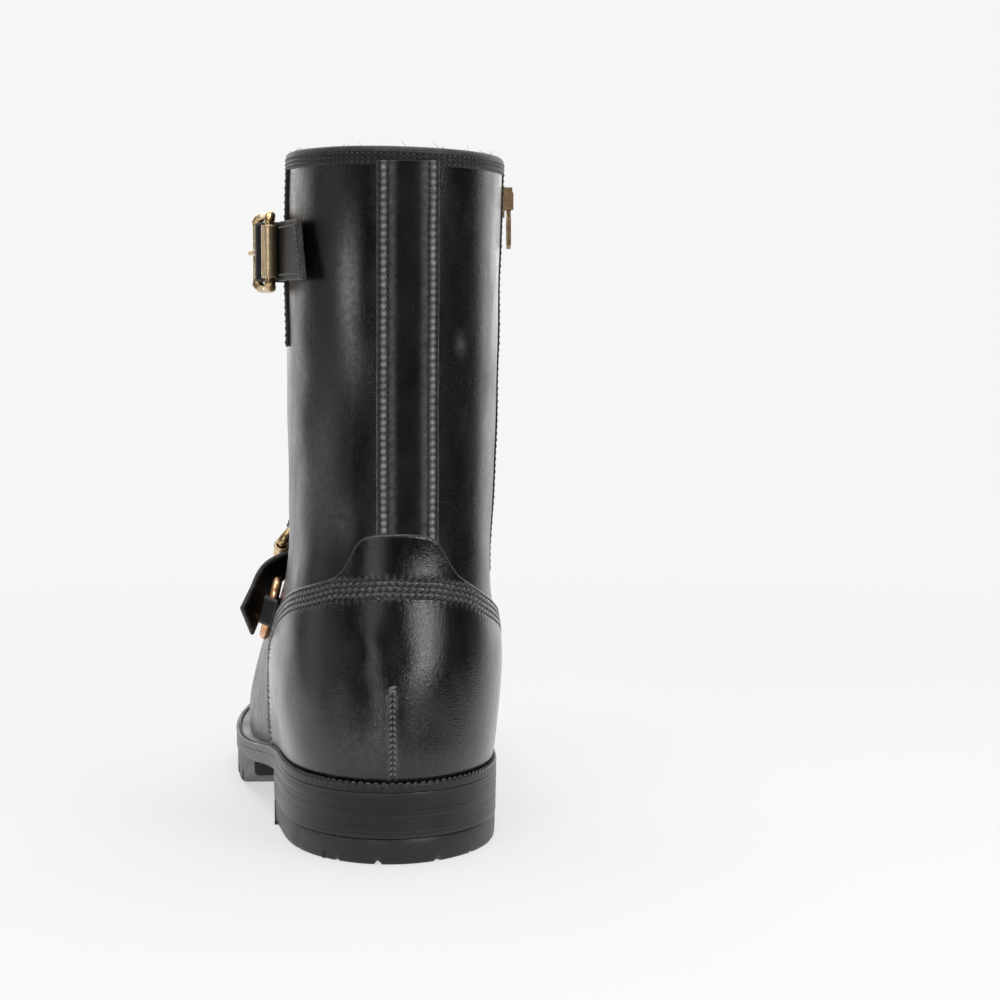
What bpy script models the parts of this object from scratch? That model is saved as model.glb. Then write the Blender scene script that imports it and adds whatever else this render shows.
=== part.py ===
"""Engineer boot, left foot: a hollow leather upper on a stitched welt, with a
heel counter, a side zip, a buckled collar strap and a buckled instep strap.

Frame: metres, +Z up, toe towards +Y, the little-toe side towards -X.
The origin is the middle of the heel's flat tread on the floor.
"""

import math

import bmesh
import bpy
import numpy as np
from mathutils import Matrix, Vector
from mathutils.bvhtree import BVHTree

MM = 0.001

# ---------------------------------------------------------------- sizes, mm
LEATHER = 2.4          # wall of the upper, leather and lining together
GAP = 0.3              # air left between two touching pieces
WELT_OUT = 6.0         # how far the welt stands out from the upper
WELT_T = 3.0
COLLAR_TILT = 0.03     # the collar's line falls towards the zip's side
MIDSOLE_T = 4.0
HEEL_SEAT_Z = 29.0     # height of the welt's top at the heel
BALL_Z = 19.0          # height of the welt's top at the ball of the foot
TOE_SPRING = 9.0       # rise of the sole at the toe
WELT_HEEL = 4.0        # the welt is narrower round the heel
LUG_DEPTH = 4.5
HEEL_LIFT_T = 9.0      # rubber top piece under the heel stack
HEEL_BREAST_Y = 36.0   # front face of the heel
HALF_SOLE_Y = 84.0     # rear end of the lugged half sole
COUNTER_T = 1.6
INSOLE_RISE = 2.5      # insole's top above the welt's top
STRAP_T = 1.6
TAB_T = 1.0
COLLAR_STRAP_W = 22.0
INSTEP_STRAP_W = 17.0
ROD = 1.6              # radius of the buckles' wire
ROLLER_R = 3.0
BUCKLE_HALF = 13.0     # centre bar to either end bar
BUCKLE_DIP = 2.0       # the centre bar sits this much lower than the end bars
RING_R = 10.9          # the harness ring: middle radius, and its wire's radius
RING_ROD = 2.0
ZIP_Y = (33.5, 40.5)   # slot for the zip in the inner side of the shaft
ZIP_BOTTOM_Z = 98.0

# Upper: one row for each level loop, from the sole's edge up to the collar.
# zb,yb is the loop's rear end and zf,yf its front end in the side view, xf the
# front end's sideways place, xc the loop's middle. follow is how much of the
# sole line's curve the loop keeps. l_* and m_* are half widths, on the outer
# (lateral) and the inner (medial) side, at six shares of the loop's length.
SHARES = (0.03, 0.13, 0.33, 0.56, 0.78, 0.94)
LEVEL_COLUMNS = ("name", "zb", "yb", "zf", "yf", "xf", "xc", "follow",
                 "l_heel", "l_seat", "l_waist", "l_ball", "l_toe", "l_tip",
                 "m_heel", "m_seat", "m_waist", "m_ball", "m_toe", "m_tip")
LEVELS = (
    ("feather",   26.5, -41.0,  24.5, 253.0,  7.0, 1.0, 1.00, 20.5, 36.3, 36.3, 50.5, 51.5, 27.5, 20.5, 39.3, 37.5, 37.0, 46.0, 33.0),
    ("rand",      35.0, -42.8,  34.0, 256.5,  7.0, 1.2, 0.95, 21.0, 38.0, 38.0, 51.0, 52.5, 30.0, 21.0, 40.7, 39.5, 40.0, 48.5, 35.5),
    ("wall",      44.0, -42.6,  44.0, 257.0,  7.0, 1.4, 0.70, 21.3, 39.2, 40.0, 48.5, 50.5, 30.5, 21.3, 41.4, 41.0, 42.2, 48.5, 36.0),
    ("bulge",     54.0, -41.5,  54.5, 251.0,  7.0, 1.6, 0.40, 21.0, 40.0, 41.0, 45.5, 47.5, 28.5, 21.0, 42.0, 43.0, 43.0, 46.0, 33.5),
    ("toe_top",   64.0, -39.5,  63.5, 237.0,  6.5, 1.8, 0.20, 20.5, 39.7, 41.5, 43.5, 42.0, 25.0, 20.5, 41.8, 43.5, 42.2, 41.5, 28.5),
    ("vamp_low",  74.0, -36.5,  70.5, 214.0,  5.5, 2.2, 0.00, 20.0, 38.8, 41.0, 41.0, 36.0, 21.0, 20.0, 40.6, 43.0, 40.8, 36.5, 23.0),
    ("vamp",      84.0, -33.0,  77.5, 188.0,  4.5, 2.6, 0.00, 19.5, 37.2, 40.0, 39.5, 32.5, 18.5, 19.5, 38.2, 41.0, 38.5, 33.0, 20.0),
    ("instep",    94.0, -30.0,  86.0, 162.0,  3.5, 3.2, 0.00, 19.0, 35.5, 38.8, 38.0, 30.5, 17.5, 19.0, 36.0, 39.0, 37.2, 30.5, 18.0),
    ("throat_lo", 105.0, -27.5, 97.0, 138.0,  3.2, 4.0, 0.00, 18.0, 33.5, 38.2, 37.5, 30.0, 17.0, 18.0, 34.0, 38.0, 37.0, 30.0, 17.0),
    ("throat",    118.0, -26.5, 112.0, 118.0, 4.0, 4.6, 0.00, 17.0, 31.5, 38.2, 38.0, 31.0, 18.0, 17.0, 31.5, 37.8, 38.0, 31.0, 18.0),
    ("ankle",     134.0, -26.5, 130.0, 107.5, 4.8, 5.0, 0.00, 16.5, 30.0, 38.6, 39.4, 33.0, 19.5, 16.5, 30.0, 38.0, 38.8, 33.0, 19.5),
    ("shaft_1",    154.0, -27.5, 152.0, 105.0, 5.2, 5.2, 0.00, 16.0, 29.1, 38.8, 40.0, 33.8, 20.5, 16.0, 29.5, 38.6, 39.6, 34.0, 20.5),
    ("shaft_2",    178.0, -29.0, 177.0, 106.0, 5.4, 5.4, 0.00, 16.0, 28.9, 39.0, 40.3, 34.2, 21.0, 16.0, 29.5, 38.6, 39.8, 34.4, 21.0),
    ("shaft_3",    203.0, -31.0, 203.0, 108.5, 5.6, 5.6, 0.00, 16.0, 29.0, 39.4, 40.8, 34.6, 21.4, 16.0, 29.6, 38.9, 40.2, 34.8, 21.4),
    ("shaft_4",    227.0, -32.0, 228.0, 111.0, 6.0, 6.0, 0.00, 16.0, 28.9, 39.5, 41.0, 34.7, 21.6, 16.0, 29.8, 39.2, 40.6, 35.2, 21.6),
    ("collar",     249.7, -32.5, 250.7, 112.5, 6.4, 6.4, 0.00, 16.0, 28.4, 39.2, 40.8, 34.4, 21.8, 16.0, 30.0, 39.6, 41.0, 35.6, 21.8),
)

# Counter: the height of its top line at bearings round the heel, in degrees
# from straight back, for the outer (-) and the inner (+) side. The raised tab
# stands over the back seam, and the front edges run down to the welt.
COUNTER_LINE = (
    (-158, 14.0), (-149, 20.0), (-146, 40.0), (-145, 55.0), (-143, 67.0),
    (-139, 76.0), (-132, 82.0), (-122, 86.0), (-108, 90.0), (-90, 93.5),
    (-72, 96.0), (-58, 98.0), (-48, 100.0), (-42, 103.5), (-37, 108.5),
    (-32, 112.5), (-25, 114.5), (-10, 115.5), (10, 115.5), (25, 114.5),
    (32, 112.5), (37, 108.5), (42, 103.5), (48, 99.6), (58, 96.8),
    (72, 92.8), (90, 88.8), (108, 84.8), (122, 80.8), (132, 76.0),
    (139, 69.5), (143, 61.0), (145, 50.0), (147, 37.0), (149, 20.0), (158, 14.0),
)


# --------------------------------------------------------- the boot's surface
def smooth(t):
    t = np.clip(t, 0.0, 1.0)
    return t * t * (3 - 2 * t)


def sole_line(y):
    """Height of the welt's top along the boot, mm: heel seat, shank, ball, toe spring."""
    y = np.asarray(y, float)
    shank = HEEL_SEAT_Z - (HEEL_SEAT_Z - BALL_Z) * smooth((y - 18.0) / 112.0)
    return shank + tread(y)


def tread(y):
    """Underside of the sole: flat on the floor, then up with the toe."""
    return TOE_SPRING * np.clip((np.asarray(y, float) - 145.0) / 116.0, 0, None) ** 1.5


def level_loop(row):
    """The control points of one level: rear end, outer side, front end, inner side."""
    r = dict(zip(LEVEL_COLUMNS, row))
    zb, yb, zf, yf = r["zb"], r["yb"], r["zf"], r["yf"]
    outer, inner = row[8:14], row[14:20]

    def place(share, half, side):
        y = yb + (yf - yb) * share
        z = zb + (zf - zb) * share
        middle = r["xc"] + (r["xf"] - r["xc"]) * smooth((share - 0.5) / 0.5)
        chord = LEVELS[0][1] + (LEVELS[0][3] - LEVELS[0][1]) * (y + 40.5) / 293.5
        z += r["follow"] * (float(sole_line(y)) - 2.5 - chord) * (0.0 if share in (0, 1) else 1.0)
        x = middle + side * half
        if r["name"] == "collar":
            z -= COLLAR_TILT * x
        return (x, y, z)

    loop = [place(0.0, 0.0, 1)]
    loop += [place(s, w, -1) for s, w in zip(SHARES, outer)]
    loop += [place(1.0, 0.0, 1)]
    loop += [place(s, w, 1) for s, w in reversed(list(zip(SHARES, inner)))]
    return loop


NET = np.array([level_loop(row) for row in LEVELS])   # levels, round the loop, xyz


def cubic(t):
    """The four uniform cubic B-spline weights."""
    return np.stack([(1 - t) ** 3, 3 * t ** 3 - 6 * t ** 2 + 4,
                     -3 * t ** 3 + 3 * t ** 2 + 3 * t + 1, t ** 3], -1) / 6.0


def surface(u, v):
    """Point on the upper's outer face. u runs round the boot, 0..1 from the back
    seam by the outer side; v runs 0..1 from the sole's edge to the collar."""
    u, v = np.broadcast_arrays(np.asarray(u, float), np.asarray(v, float))
    around, rows = NET.shape[1], NET.shape[0]
    ends = np.concatenate([[2 * NET[0] - NET[1]], NET, [2 * NET[-1] - NET[-2]]])
    a = (u % 1.0) * around
    i = np.floor(a).astype(int)
    b = np.clip(v, 0, 1) * (rows - 1)
    j = np.minimum(np.floor(b).astype(int), rows - 2)
    wu, wv = cubic(a - i), cubic(b - j)
    point = np.zeros(u.shape + (3,))
    for p in range(4):
        for q in range(4):
            point += (wv[..., p] * wu[..., q])[..., None] * ends[j + p, (i + q - 1) % around]
    return point


def normal(u, v):
    """Outward normal of the surface."""
    e = 1e-3
    du = surface(np.asarray(u) + e, v) - surface(np.asarray(u) - e, v)
    v1, v0 = np.clip(np.asarray(v) + e, 0, 1), np.clip(np.asarray(v) - e, 0, 1)
    n = np.cross(surface(u, v1) - surface(u, v0), du)
    return n / np.linalg.norm(n, axis=-1, keepdims=True)


def grid(nu, nv, offset=0.0, v0=0.0, v1=1.0):
    """nv+1 loops of nu points on the surface, offset outwards by offset mm."""
    u, v = np.meshgrid(np.arange(nu) / nu, np.linspace(v0, v1, nv + 1))
    return surface(u, v) + offset * normal(u, v)


# ------------------------------------------------------------- mesh building
for old in list(bpy.data.objects):
    bpy.data.objects.remove(old)

BOOT = bpy.data.collections.new("engineer_boot")
CUTTERS = bpy.data.collections.new("cutters")
bpy.context.scene.collection.children.link(BOOT)
bpy.context.scene.collection.children.link(CUTTERS)

FINISHES = {  # base colour, roughness, metallic
    "black_leather": ((0.014, 0.014, 0.015), 0.28, 0.0),
    "sole_leather": ((0.020, 0.017, 0.016), 0.45, 0.0),
    "sole_rubber": ((0.016, 0.016, 0.016), 0.60, 0.0),
    "insole_leather": ((0.30, 0.20, 0.12), 0.75, 0.0),
    "antique_brass": ((0.55, 0.38, 0.18), 0.35, 1.0),
    "zip_fabric": ((0.012, 0.012, 0.012), 0.85, 0.0),
}
MATERIALS = {}
for label, (colour, rough, metal) in FINISHES.items():
    m = bpy.data.materials.new(label)
    m.use_nodes = True
    shader = m.node_tree.nodes["Principled BSDF"]
    shader.inputs["Base Color"].default_value = (*colour, 1.0)
    shader.inputs["Roughness"].default_value = rough
    shader.inputs["Metallic"].default_value = metal
    MATERIALS[label] = m


def make(name, points, faces, finish, collection=BOOT):
    """A mesh object from points in mm and faces, its normals turned outwards."""
    mesh = bpy.data.meshes.new(name)
    mesh.from_pydata([tuple(float(c) * MM for c in p) for p in points], [], faces)
    bm = bmesh.new()
    bm.from_mesh(mesh)
    bmesh.ops.recalc_face_normals(bm, faces=bm.faces)
    bm.to_mesh(mesh)
    bm.free()
    ob = bpy.data.objects.new(name, mesh)
    collection.objects.link(ob)
    if finish:
        mesh.materials.append(MATERIALS[finish])
        mesh.shade_smooth()
        mesh.set_sharp_from_angle(angle=math.radians(40))
    else:
        ob.hide_render, ob.display_type = True, "WIRE"
    return ob


def loft(name, loops, finish, closed=True, caps=True, collection=BOOT):
    """A skin over loops of equal length. Open sections (closed=False) stay open."""
    loops = [list(map(tuple, loop)) for loop in loops]
    n, m = len(loops[0]), len(loops)
    points = [p for loop in loops for p in loop]
    faces = []
    for j in range(m - 1):
        for i in range(n if closed else n - 1):
            k = (i + 1) % n
            faces.append((j * n + i, j * n + k, (j + 1) * n + k, (j + 1) * n + i))
    if caps and closed:
        faces.append(tuple(range(n)))
        faces.append(tuple((m - 1) * n + i for i in range(n)))
    return make(name, points, faces, finish, collection)


def boolean(target, cutter, operation="DIFFERENCE"):
    mod = target.modifiers.new(operation.lower(), "BOOLEAN")
    mod.object, mod.operation, mod.solver = cutter, operation, "EXACT"
    return target


def box(name, low, high, finish=None, collection=CUTTERS):
    bpy.ops.mesh.primitive_cube_add(size=1.0)
    ob = bpy.context.active_object
    ob.name = name
    for c in list(ob.users_collection):
        c.objects.unlink(ob)
    collection.objects.link(ob)
    size = [(h - l) * MM for l, h in zip(low, high)]
    middle = [(h + l) / 2 * MM for l, h in zip(low, high)]
    ob.data.transform(Matrix.Translation(middle) @ Matrix.Diagonal((*size, 1.0)))
    if finish:
        ob.data.materials.append(MATERIALS[finish])
    else:
        ob.hide_render, ob.display_type = True, "WIRE"
    return ob


def ring_offset(loop, out):
    """A plan outline moved outwards by out mm, along its own normals in plan."""
    p = np.asarray(loop)[:, :2]
    t = np.roll(p, -1, 0) - np.roll(p, 1, 0)
    n = np.stack([t[:, 1], -t[:, 0]], 1) / np.linalg.norm(t, axis=1, keepdims=True)
    area = np.sum(p[:, 0] * np.roll(p[:, 1], -1) - np.roll(p[:, 0], -1) * p[:, 1])
    return p + np.reshape(out, (-1, 1)) * n * (1 if area > 0 else -1)


AROUND, LEVELS_CUT = 40, 21   # facets of the upper


# ----------------------------------------------------------------- the upper
def build_upper():
    """Vamp and shaft as one wall: an open skin through the levels, thickened
    inwards, with the zip's slot cut in its inner side."""
    skin = loft("upper", grid(AROUND, LEVELS_CUT), "black_leather", caps=False)
    wall = skin.modifiers.new("wall", "SOLIDIFY")
    wall.thickness, wall.offset = LEATHER * MM, -1.0
    wall.use_even_offset = False
    # The wall grows inwards from the face normals, so they must point out of the boot.
    middle = skin.data.polygons[len(skin.data.polygons) // 2]
    axis = Vector((5 * MM, 40 * MM, middle.center.z))
    if (middle.center - axis).dot(middle.normal) < 0:
        skin.data.flip_normals()
    boolean(skin, box("zip_slot", (25, ZIP_Y[0], ZIP_BOTTOM_Z), (70, ZIP_Y[1], 270)))
    return boolean(skin, sole_block("upper_foot", 0.0))


def sole_block(name, above):
    """A cutter filling everything below the sole line, above mm over it."""
    ys = np.linspace(-70, 280, 57)
    loops = [[(-91, y, -3), (91, y, -3), (91, y, h), (-91, y, h)]
             for y, h in zip(ys, sole_line(ys) + above)]
    return loft(name, loops, None, collection=CUTTERS)


def skin_tree(nu, nv):
    faces = [(j * nu + i, j * nu + (i + 1) % nu, (j + 1) * nu + (i + 1) % nu, (j + 1) * nu + i)
             for j in range(nv) for i in range(nu)]
    return BVHTree.FromPolygons([Vector(p) for p in grid(nu, nv).reshape(-1, 3)], faces)


SKIN = skin_tree(AROUND, LEVELS_CUT)     # the facets that straps must clear
SMOOTH_SKIN = skin_tree(160, 100)        # for directions


def on_skin(start, towards):
    """Where a ray from outside first meets the upper, and the outward normal there."""
    direction = (Vector(towards) - Vector(start)).normalized()
    point, _, _, _ = SKIN.ray_cast(Vector(start), direction)
    _, n, _, _ = SMOOTH_SKIN.ray_cast(Vector(start), direction)
    if n.dot(direction) > 0:
        n = -n
    return np.array(point), np.array(n)


def bearing_skin(bearing, z, centre=(3.0, 72.0)):
    """The upper's surface at a height, at a bearing from straight ahead: minus
    is the outer side, plus the inner side."""
    b = math.radians(bearing)
    c = Vector((centre[0], centre[1], z))
    return on_skin(c + 200 * Vector((math.sin(b), math.cos(b), 0)), c)


# --------------------------------------------------------------- the counter
def counter_curtain():
    """A block whose top follows COUNTER_LINE: wedges round the heel's middle."""
    n = 120
    share = np.linspace(0, 1, n + 1)
    at = np.linspace(0, 1, len(COUNTER_LINE))
    bearing = np.interp(share, at, [b for b, _ in COUNTER_LINE])
    height = np.interp(share, at, [h for _, h in COUNTER_LINE])
    kernel = np.array([1, 2, 1]) / 4
    for _ in range(2):
        height[1:-1] = np.convolve(height, kernel, "valid")
    near, far = 14.0, 130.0
    loops = []
    for b, h in zip(np.radians(bearing), height):
        x, y = math.sin(b), -math.cos(b)
        loops.append([(3 + near * x, near * y, sole - 0.0) for sole in (10.0, float(h))]
                     + [(3 + far * x, far * y, float(h)), (3 + far * x, far * y, 10.0)])
    return loft("counter_curtain", loops, None, collection=CUTTERS)


def build_counter():
    """The heel counter: the shell between two larger forms of the upper, stopped
    just above the welt and kept below its top line by the curtain block."""
    outer = loft("counter", grid(AROUND, 14, GAP + COUNTER_T, 0.0, 2 / 3), "black_leather")
    inner = loft("counter_core", grid(AROUND, 14, GAP, 0.0, 2 / 3), None, collection=CUTTERS)
    # the core's ends are pulled past the form's, so that no caps coincide
    for v in inner.data.vertices[:AROUND]:
        v.co.z -= 12 * MM
    for v in inner.data.vertices[-AROUND:]:
        v.co.z += 12 * MM
    boolean(outer, sole_block("counter_foot", GAP))
    boolean(outer, inner)
    return boolean(outer, counter_curtain(), "INTERSECT")


# ------------------------------------------------------------------ the sole
FEATHER = surface(np.arange(60) / 60, np.zeros(60))


def crossings(p, y):
    """The x places where a closed plan outline meets the line at y."""
    found = []
    for a, b in zip(p, np.roll(p, -1, 0)):
        if (a[1] - y) * (b[1] - y) <= 0 and a[1] != b[1]:
            found.append(a[0] + (b[0] - a[0]) * (y - a[1]) / (b[1] - a[1]))
    return found


def slab(name, outline, top, bottom, finish, collection=BOOT, taper=0.0, centre=(0, 0)):
    """A prism over a plan outline with a curved top and bottom: two loops joined
    by a wall, filled by fans about the middle line."""
    p = np.asarray(outline)
    n = len(p)
    t = np.array([top(y) for y in p[:, 1]])
    b = np.array([bottom(y) for y in p[:, 1]])
    c = np.array(centre)
    q = c + (p - c) * (1 - taper)
    points = [(x, y, z) for (x, y), z in zip(p, t)] + [(x, y, z) for (x, y), z in zip(q, b)]
    faces = [(i, (i + 1) % n, n + (i + 1) % n, n + i) for i in range(n)]
    # join left and right points at the same station, so the faces bend with the sole
    back, front = int(np.argmin(p[:, 1])), int(np.argmax(p[:, 1]))
    one = [(back + k) % n for k in range((front - back) % n + 1)]
    two = [(back - k) % n for k in range((back - front) % n + 1)]
    for base in (0, n):
        i = j = 0
        while i < len(one) - 1 or j < len(two) - 1:
            step_one = j >= len(two) - 1 or (i < len(one) - 1
                                             and p[one[i + 1], 1] <= p[two[j + 1], 1])
            if step_one:
                tri = (one[i], one[i + 1], two[j])
                i += 1
            else:
                tri = (one[i], two[j + 1], two[j])
                j += 1
            if len(set(tri)) == 3:
                faces.append(tuple(base + k for k in tri))
    return make(name, points, faces, finish, collection)


def outline(out):
    """The feather line in plan moved outwards, less far round the heel."""
    narrow = (WELT_OUT - WELT_HEEL) * (1 - smooth((FEATHER[:, 1] - 15.0) / 60.0))
    return ring_offset(FEATHER, out - narrow * (out > 0))


def build_welt():
    """A flat strip all round, under the upper's wall and 6 mm out from it."""
    top = slab("welt", outline(WELT_OUT), lambda y: sole_line(y) - GAP,
               lambda y: sole_line(y) - GAP - WELT_T, "sole_leather")
    hole = slab("welt_hole", outline(-LEATHER - 0.4), lambda y: sole_line(y) + 20,
                lambda y: sole_line(y) - 20, None, CUTTERS)
    return boolean(top, hole)


def under_welt(y):
    return sole_line(y) - GAP - WELT_T - GAP


def build_midsole():
    return slab("midsole", outline(WELT_OUT - 0.3), under_welt,
                lambda y: under_welt(y) - MIDSOLE_T, "sole_leather")


def build_insole():
    """Insole with its filler, down to the midsole inside the welt's ring."""
    return slab("insole", outline(-LEATHER - 0.8), lambda y: sole_line(y) + INSOLE_RISE,
                lambda y: under_welt(y) + GAP, "insole_leather")


def build_half_sole():
    """Lugged rubber half sole: a slab from the waist to the toe, with grooves
    let into its edge and across its tread."""
    full = outline(WELT_OUT - 0.6)
    p = [q for q in full]
    sole = slab("half_sole", np.array(p), lambda y: under_welt(y) - MIDSOLE_T - GAP,
                tread, "sole_rubber")
    boolean(sole, box("sole_rear", (-80, -80, -20), (80, HALF_SOLE_Y, 60)))
    # a hollow behind the ball, where the sole lifts off the floor
    arch = [[(-80, y, -5), (80, y, -5), (80, y, z), (-80, y, z)]
            for y, z in ((HALF_SOLE_Y - 6, 9.0), (HALF_SOLE_Y + 8, 7.6), (HALF_SOLE_Y + 20, 4.4),
                         (HALF_SOLE_Y + 32, 1.2), (HALF_SOLE_Y + 38, -1.0))]
    boolean(sole, loft("sole_arch", arch, None, collection=CUTTERS))
    for k, y in enumerate((120.0, 142.0, 161.0, 180.0, 199.0, 217.0)):
        lift = float(tread(y))
        for side in (-1, 1):
            x = 14.0 if side > 0 else -80.0
            groove = box(f"groove_{k}_{'m' if side > 0 else 'l'}", (x, y - 2.2, -8),
                         (x + 66.0, y + 2.2, lift + LUG_DEPTH))
            turn = Matrix.Rotation(math.radians(12 * side), 4, "Z")
            pivot = Vector((0, y * MM, 0))
            groove.data.transform(Matrix.Translation(pivot) @ turn @ Matrix.Translation(-pivot))
            boolean(sole, groove)
    for side in (-1, 1):
        x = 5.0 if side > 0 else -9.0
        lines = [[(x, y, -8), (x + 4, y, -8), (x + 4, y, float(tread(y)) + LUG_DEPTH),
                  (x, y, float(tread(y)) + LUG_DEPTH)] for y in (112, 150, 175, 200, 226)]
        boolean(sole, loft(f"groove_long_{'m' if side > 0 else 'l'}", lines, None,
                           collection=CUTTERS))
    return sole


def heel_outline(out):
    """The sole's outline cut off at the heel's breast, which is slightly hollow."""
    p = outline(out)
    xs = crossings(p, HEEL_BREAST_Y)
    keep = [tuple(q) for q in p if q[1] < HEEL_BREAST_Y - 1.5]
    # walk the rear arc in order, from the outer side round the back to the inner
    keep.sort(key=lambda q: math.atan2(q[0], -q[1]))
    left, right = min(xs), max(xs)
    breast = [(right + (left - right) * t, HEEL_BREAST_Y - 3.0 * math.sin(math.pi * t))
              for t in np.linspace(0, 1, 9)]
    return np.array(keep + breast)


NOTCH_BEARINGS = (-71.0, -32.0, -8.0, 24.0, 50.5)   # from straight back, degrees


def build_heel():
    plan = heel_outline(WELT_OUT - 0.8)
    bottom = HEEL_LIFT_T + GAP
    stack = slab("heel_stack", plan, lambda y: under_welt(y) - MIDSOLE_T - GAP,
                 lambda y: bottom, "sole_leather", taper=0.012)
    lift = slab("heel_lift", plan * 0.992, lambda y: HEEL_LIFT_T, lambda y: 0.0,
                "sole_rubber", taper=0.012)
    # small notches of the tread in its edge
    for k, b in enumerate(NOTCH_BEARINGS):
        a = math.radians(b)
        notch = box(f"notch_{k}", (-1.2, -60, -5), (1.2, -24, 1.7))
        notch.data.transform(Matrix.Rotation(a, 4, "Z"))
        boolean(lift, notch)
    return stack, lift


# ---------------------------------------------------------- straps and metal
def frames_along(points, normals, step=2.0):
    """Smooths a centreline through its points and reads it every step mm, with
    a tangent, an outward normal and a width direction at each place."""
    p, n = np.array(points, float), np.array(normals, float)
    n /= np.linalg.norm(n, axis=1, keepdims=True)
    pe = np.concatenate([[2 * p[0] - p[1]], p, [2 * p[-1] - p[-2]]])
    ne = np.concatenate([[n[0]], n, [n[-1]]])
    out_p, out_n = [], []
    for i in range(1, len(pe) - 2):
        length = np.linalg.norm(pe[i + 1] - pe[i])
        count = max(1, int(round(length / step)))
        for t in np.arange(count) / count:
            w = 0.5 * np.array([-t + 2 * t**2 - t**3, 2 - 5 * t**2 + 3 * t**3,
                                t + 4 * t**2 - 3 * t**3, -t**2 + t**3])
            out_p.append(w @ pe[i - 1:i + 3])
            out_n.append(w @ ne[i - 1:i + 3])
    out_p.append(pe[-2])
    out_n.append(ne[-2])
    p, n = np.array(out_p), np.array(out_n)
    t = np.gradient(p, axis=0)
    t /= np.linalg.norm(t, axis=1, keepdims=True)
    n -= np.sum(n * t, 1, keepdims=True) * t
    n /= np.linalg.norm(n, axis=1, keepdims=True)
    return p, t, n, np.cross(t, n)


def strap(name, points, normals, width, thick, finish="black_leather", step=2.0,
          slant=0.0, across=None):
    """A strap of one thickness along a centreline. slant cuts its last end askew."""
    p, t, n, w = frames_along(points, normals, step)
    if across is not None:
        w = np.array([np.array(across, float) - np.dot(across, tt) * tt for tt in t])
        w /= np.linalg.norm(w, axis=1, keepdims=True)
        n2 = np.cross(w, t)
        n = n2 * np.sign(np.sum(n2 * n, 1, keepdims=True))
    loops = []
    for i in range(len(p)):
        h, g = width / 2, thick / 2
        push = slant * smooth((i - (len(p) - 8)) / 7.0) if slant else 0.0
        a = p[i] + w[i] * h + t[i] * push
        b = p[i] - w[i] * h - t[i] * push
        loops.append([a + n[i] * g, b + n[i] * g, b - n[i] * g, a - n[i] * g])
    return loft(name, loops, finish)


def tube(name, path, radius, finish, cyclic=False, resolution=2):
    """Round wire along a path: a poly curve with a bevel, made a mesh."""
    curve = bpy.data.curves.new(name, "CURVE")
    curve.dimensions = "3D"
    curve.bevel_depth, curve.bevel_resolution, curve.use_fill_caps = radius * MM, resolution, True
    spline = curve.splines.new("POLY")
    spline.points.add(len(path) - 1)
    for point, co in zip(spline.points, path):
        point.co = (co[0] * MM, co[1] * MM, co[2] * MM, 1.0)
    spline.use_cyclic_u = cyclic
    ob = bpy.data.objects.new(name, curve)
    BOOT.objects.link(ob)
    bpy.context.view_layer.update()
    mesh = bpy.data.meshes.new_from_object(ob.evaluated_get(bpy.context.evaluated_depsgraph_get()))
    bm = bmesh.new()
    bm.from_mesh(mesh)
    bmesh.ops.remove_doubles(bm, verts=bm.verts, dist=0.00001)
    bmesh.ops.recalc_face_normals(bm, faces=bm.faces)
    bm.to_mesh(mesh)
    bm.free()
    bpy.data.objects.remove(ob)
    made = bpy.data.objects.new(name, mesh)
    BOOT.objects.link(made)
    mesh.materials.clear()
    mesh.materials.append(MATERIALS[finish])
    mesh.shade_smooth()
    mesh.set_sharp_from_angle(angle=math.radians(50))
    return made


class Place:
    """A buckle's own frame: t along the strap towards its free end, w across
    the strap, n out from the boot."""

    def __init__(self, origin, along, out):
        self.o = np.array(origin, float)
        self.t = np.array(along, float) / np.linalg.norm(along)
        n = np.array(out, float)
        n -= np.dot(n, self.t) * self.t
        self.n = n / np.linalg.norm(n)
        self.w = np.cross(self.t, self.n)

    def at(self, t, n=0.0, w=0.0):
        return self.o + t * self.t + n * self.n + w * self.w


def turned(name, place, t, n, length, radius, bore, finish, sides=16):
    """A tube turned about an axis across the strap, its profile screwed round."""
    mesh = bpy.data.meshes.new(name)
    h = length / 2
    profile = [(radius, 0, h), (radius, 0, -h), (bore, 0, -h), (bore, 0, h)] if bore else \
              [(0, 0, h), (radius, 0, h), (radius, 0, -h), (0, 0, -h)]
    edges = [(0, 1), (1, 2), (2, 3)] + ([(3, 0)] if bore else [])
    mesh.from_pydata([tuple(c * MM for c in q) for q in profile], edges, [])
    ob = bpy.data.objects.new(name, mesh)
    BOOT.objects.link(ob)
    screw = ob.modifiers.new("turn", "SCREW")
    screw.steps = screw.render_steps = sides
    screw.use_merge_vertices, screw.merge_threshold = True, 0.00001
    screw.use_normal_calculate, screw.use_normal_flip = True, True
    basis = np.stack([place.t, place.n, place.w], 1)
    m = Matrix([list(r) + [0.0] for r in basis] + [[0, 0, 0, 1]])
    m.translation = Vector(place.at(t, n) * MM)
    if m.to_3x3().determinant() < 0:
        raise ValueError("left-handed place")
    ob.matrix_world = m
    mesh.materials.append(MATERIALS[finish])
    return ob


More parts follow.
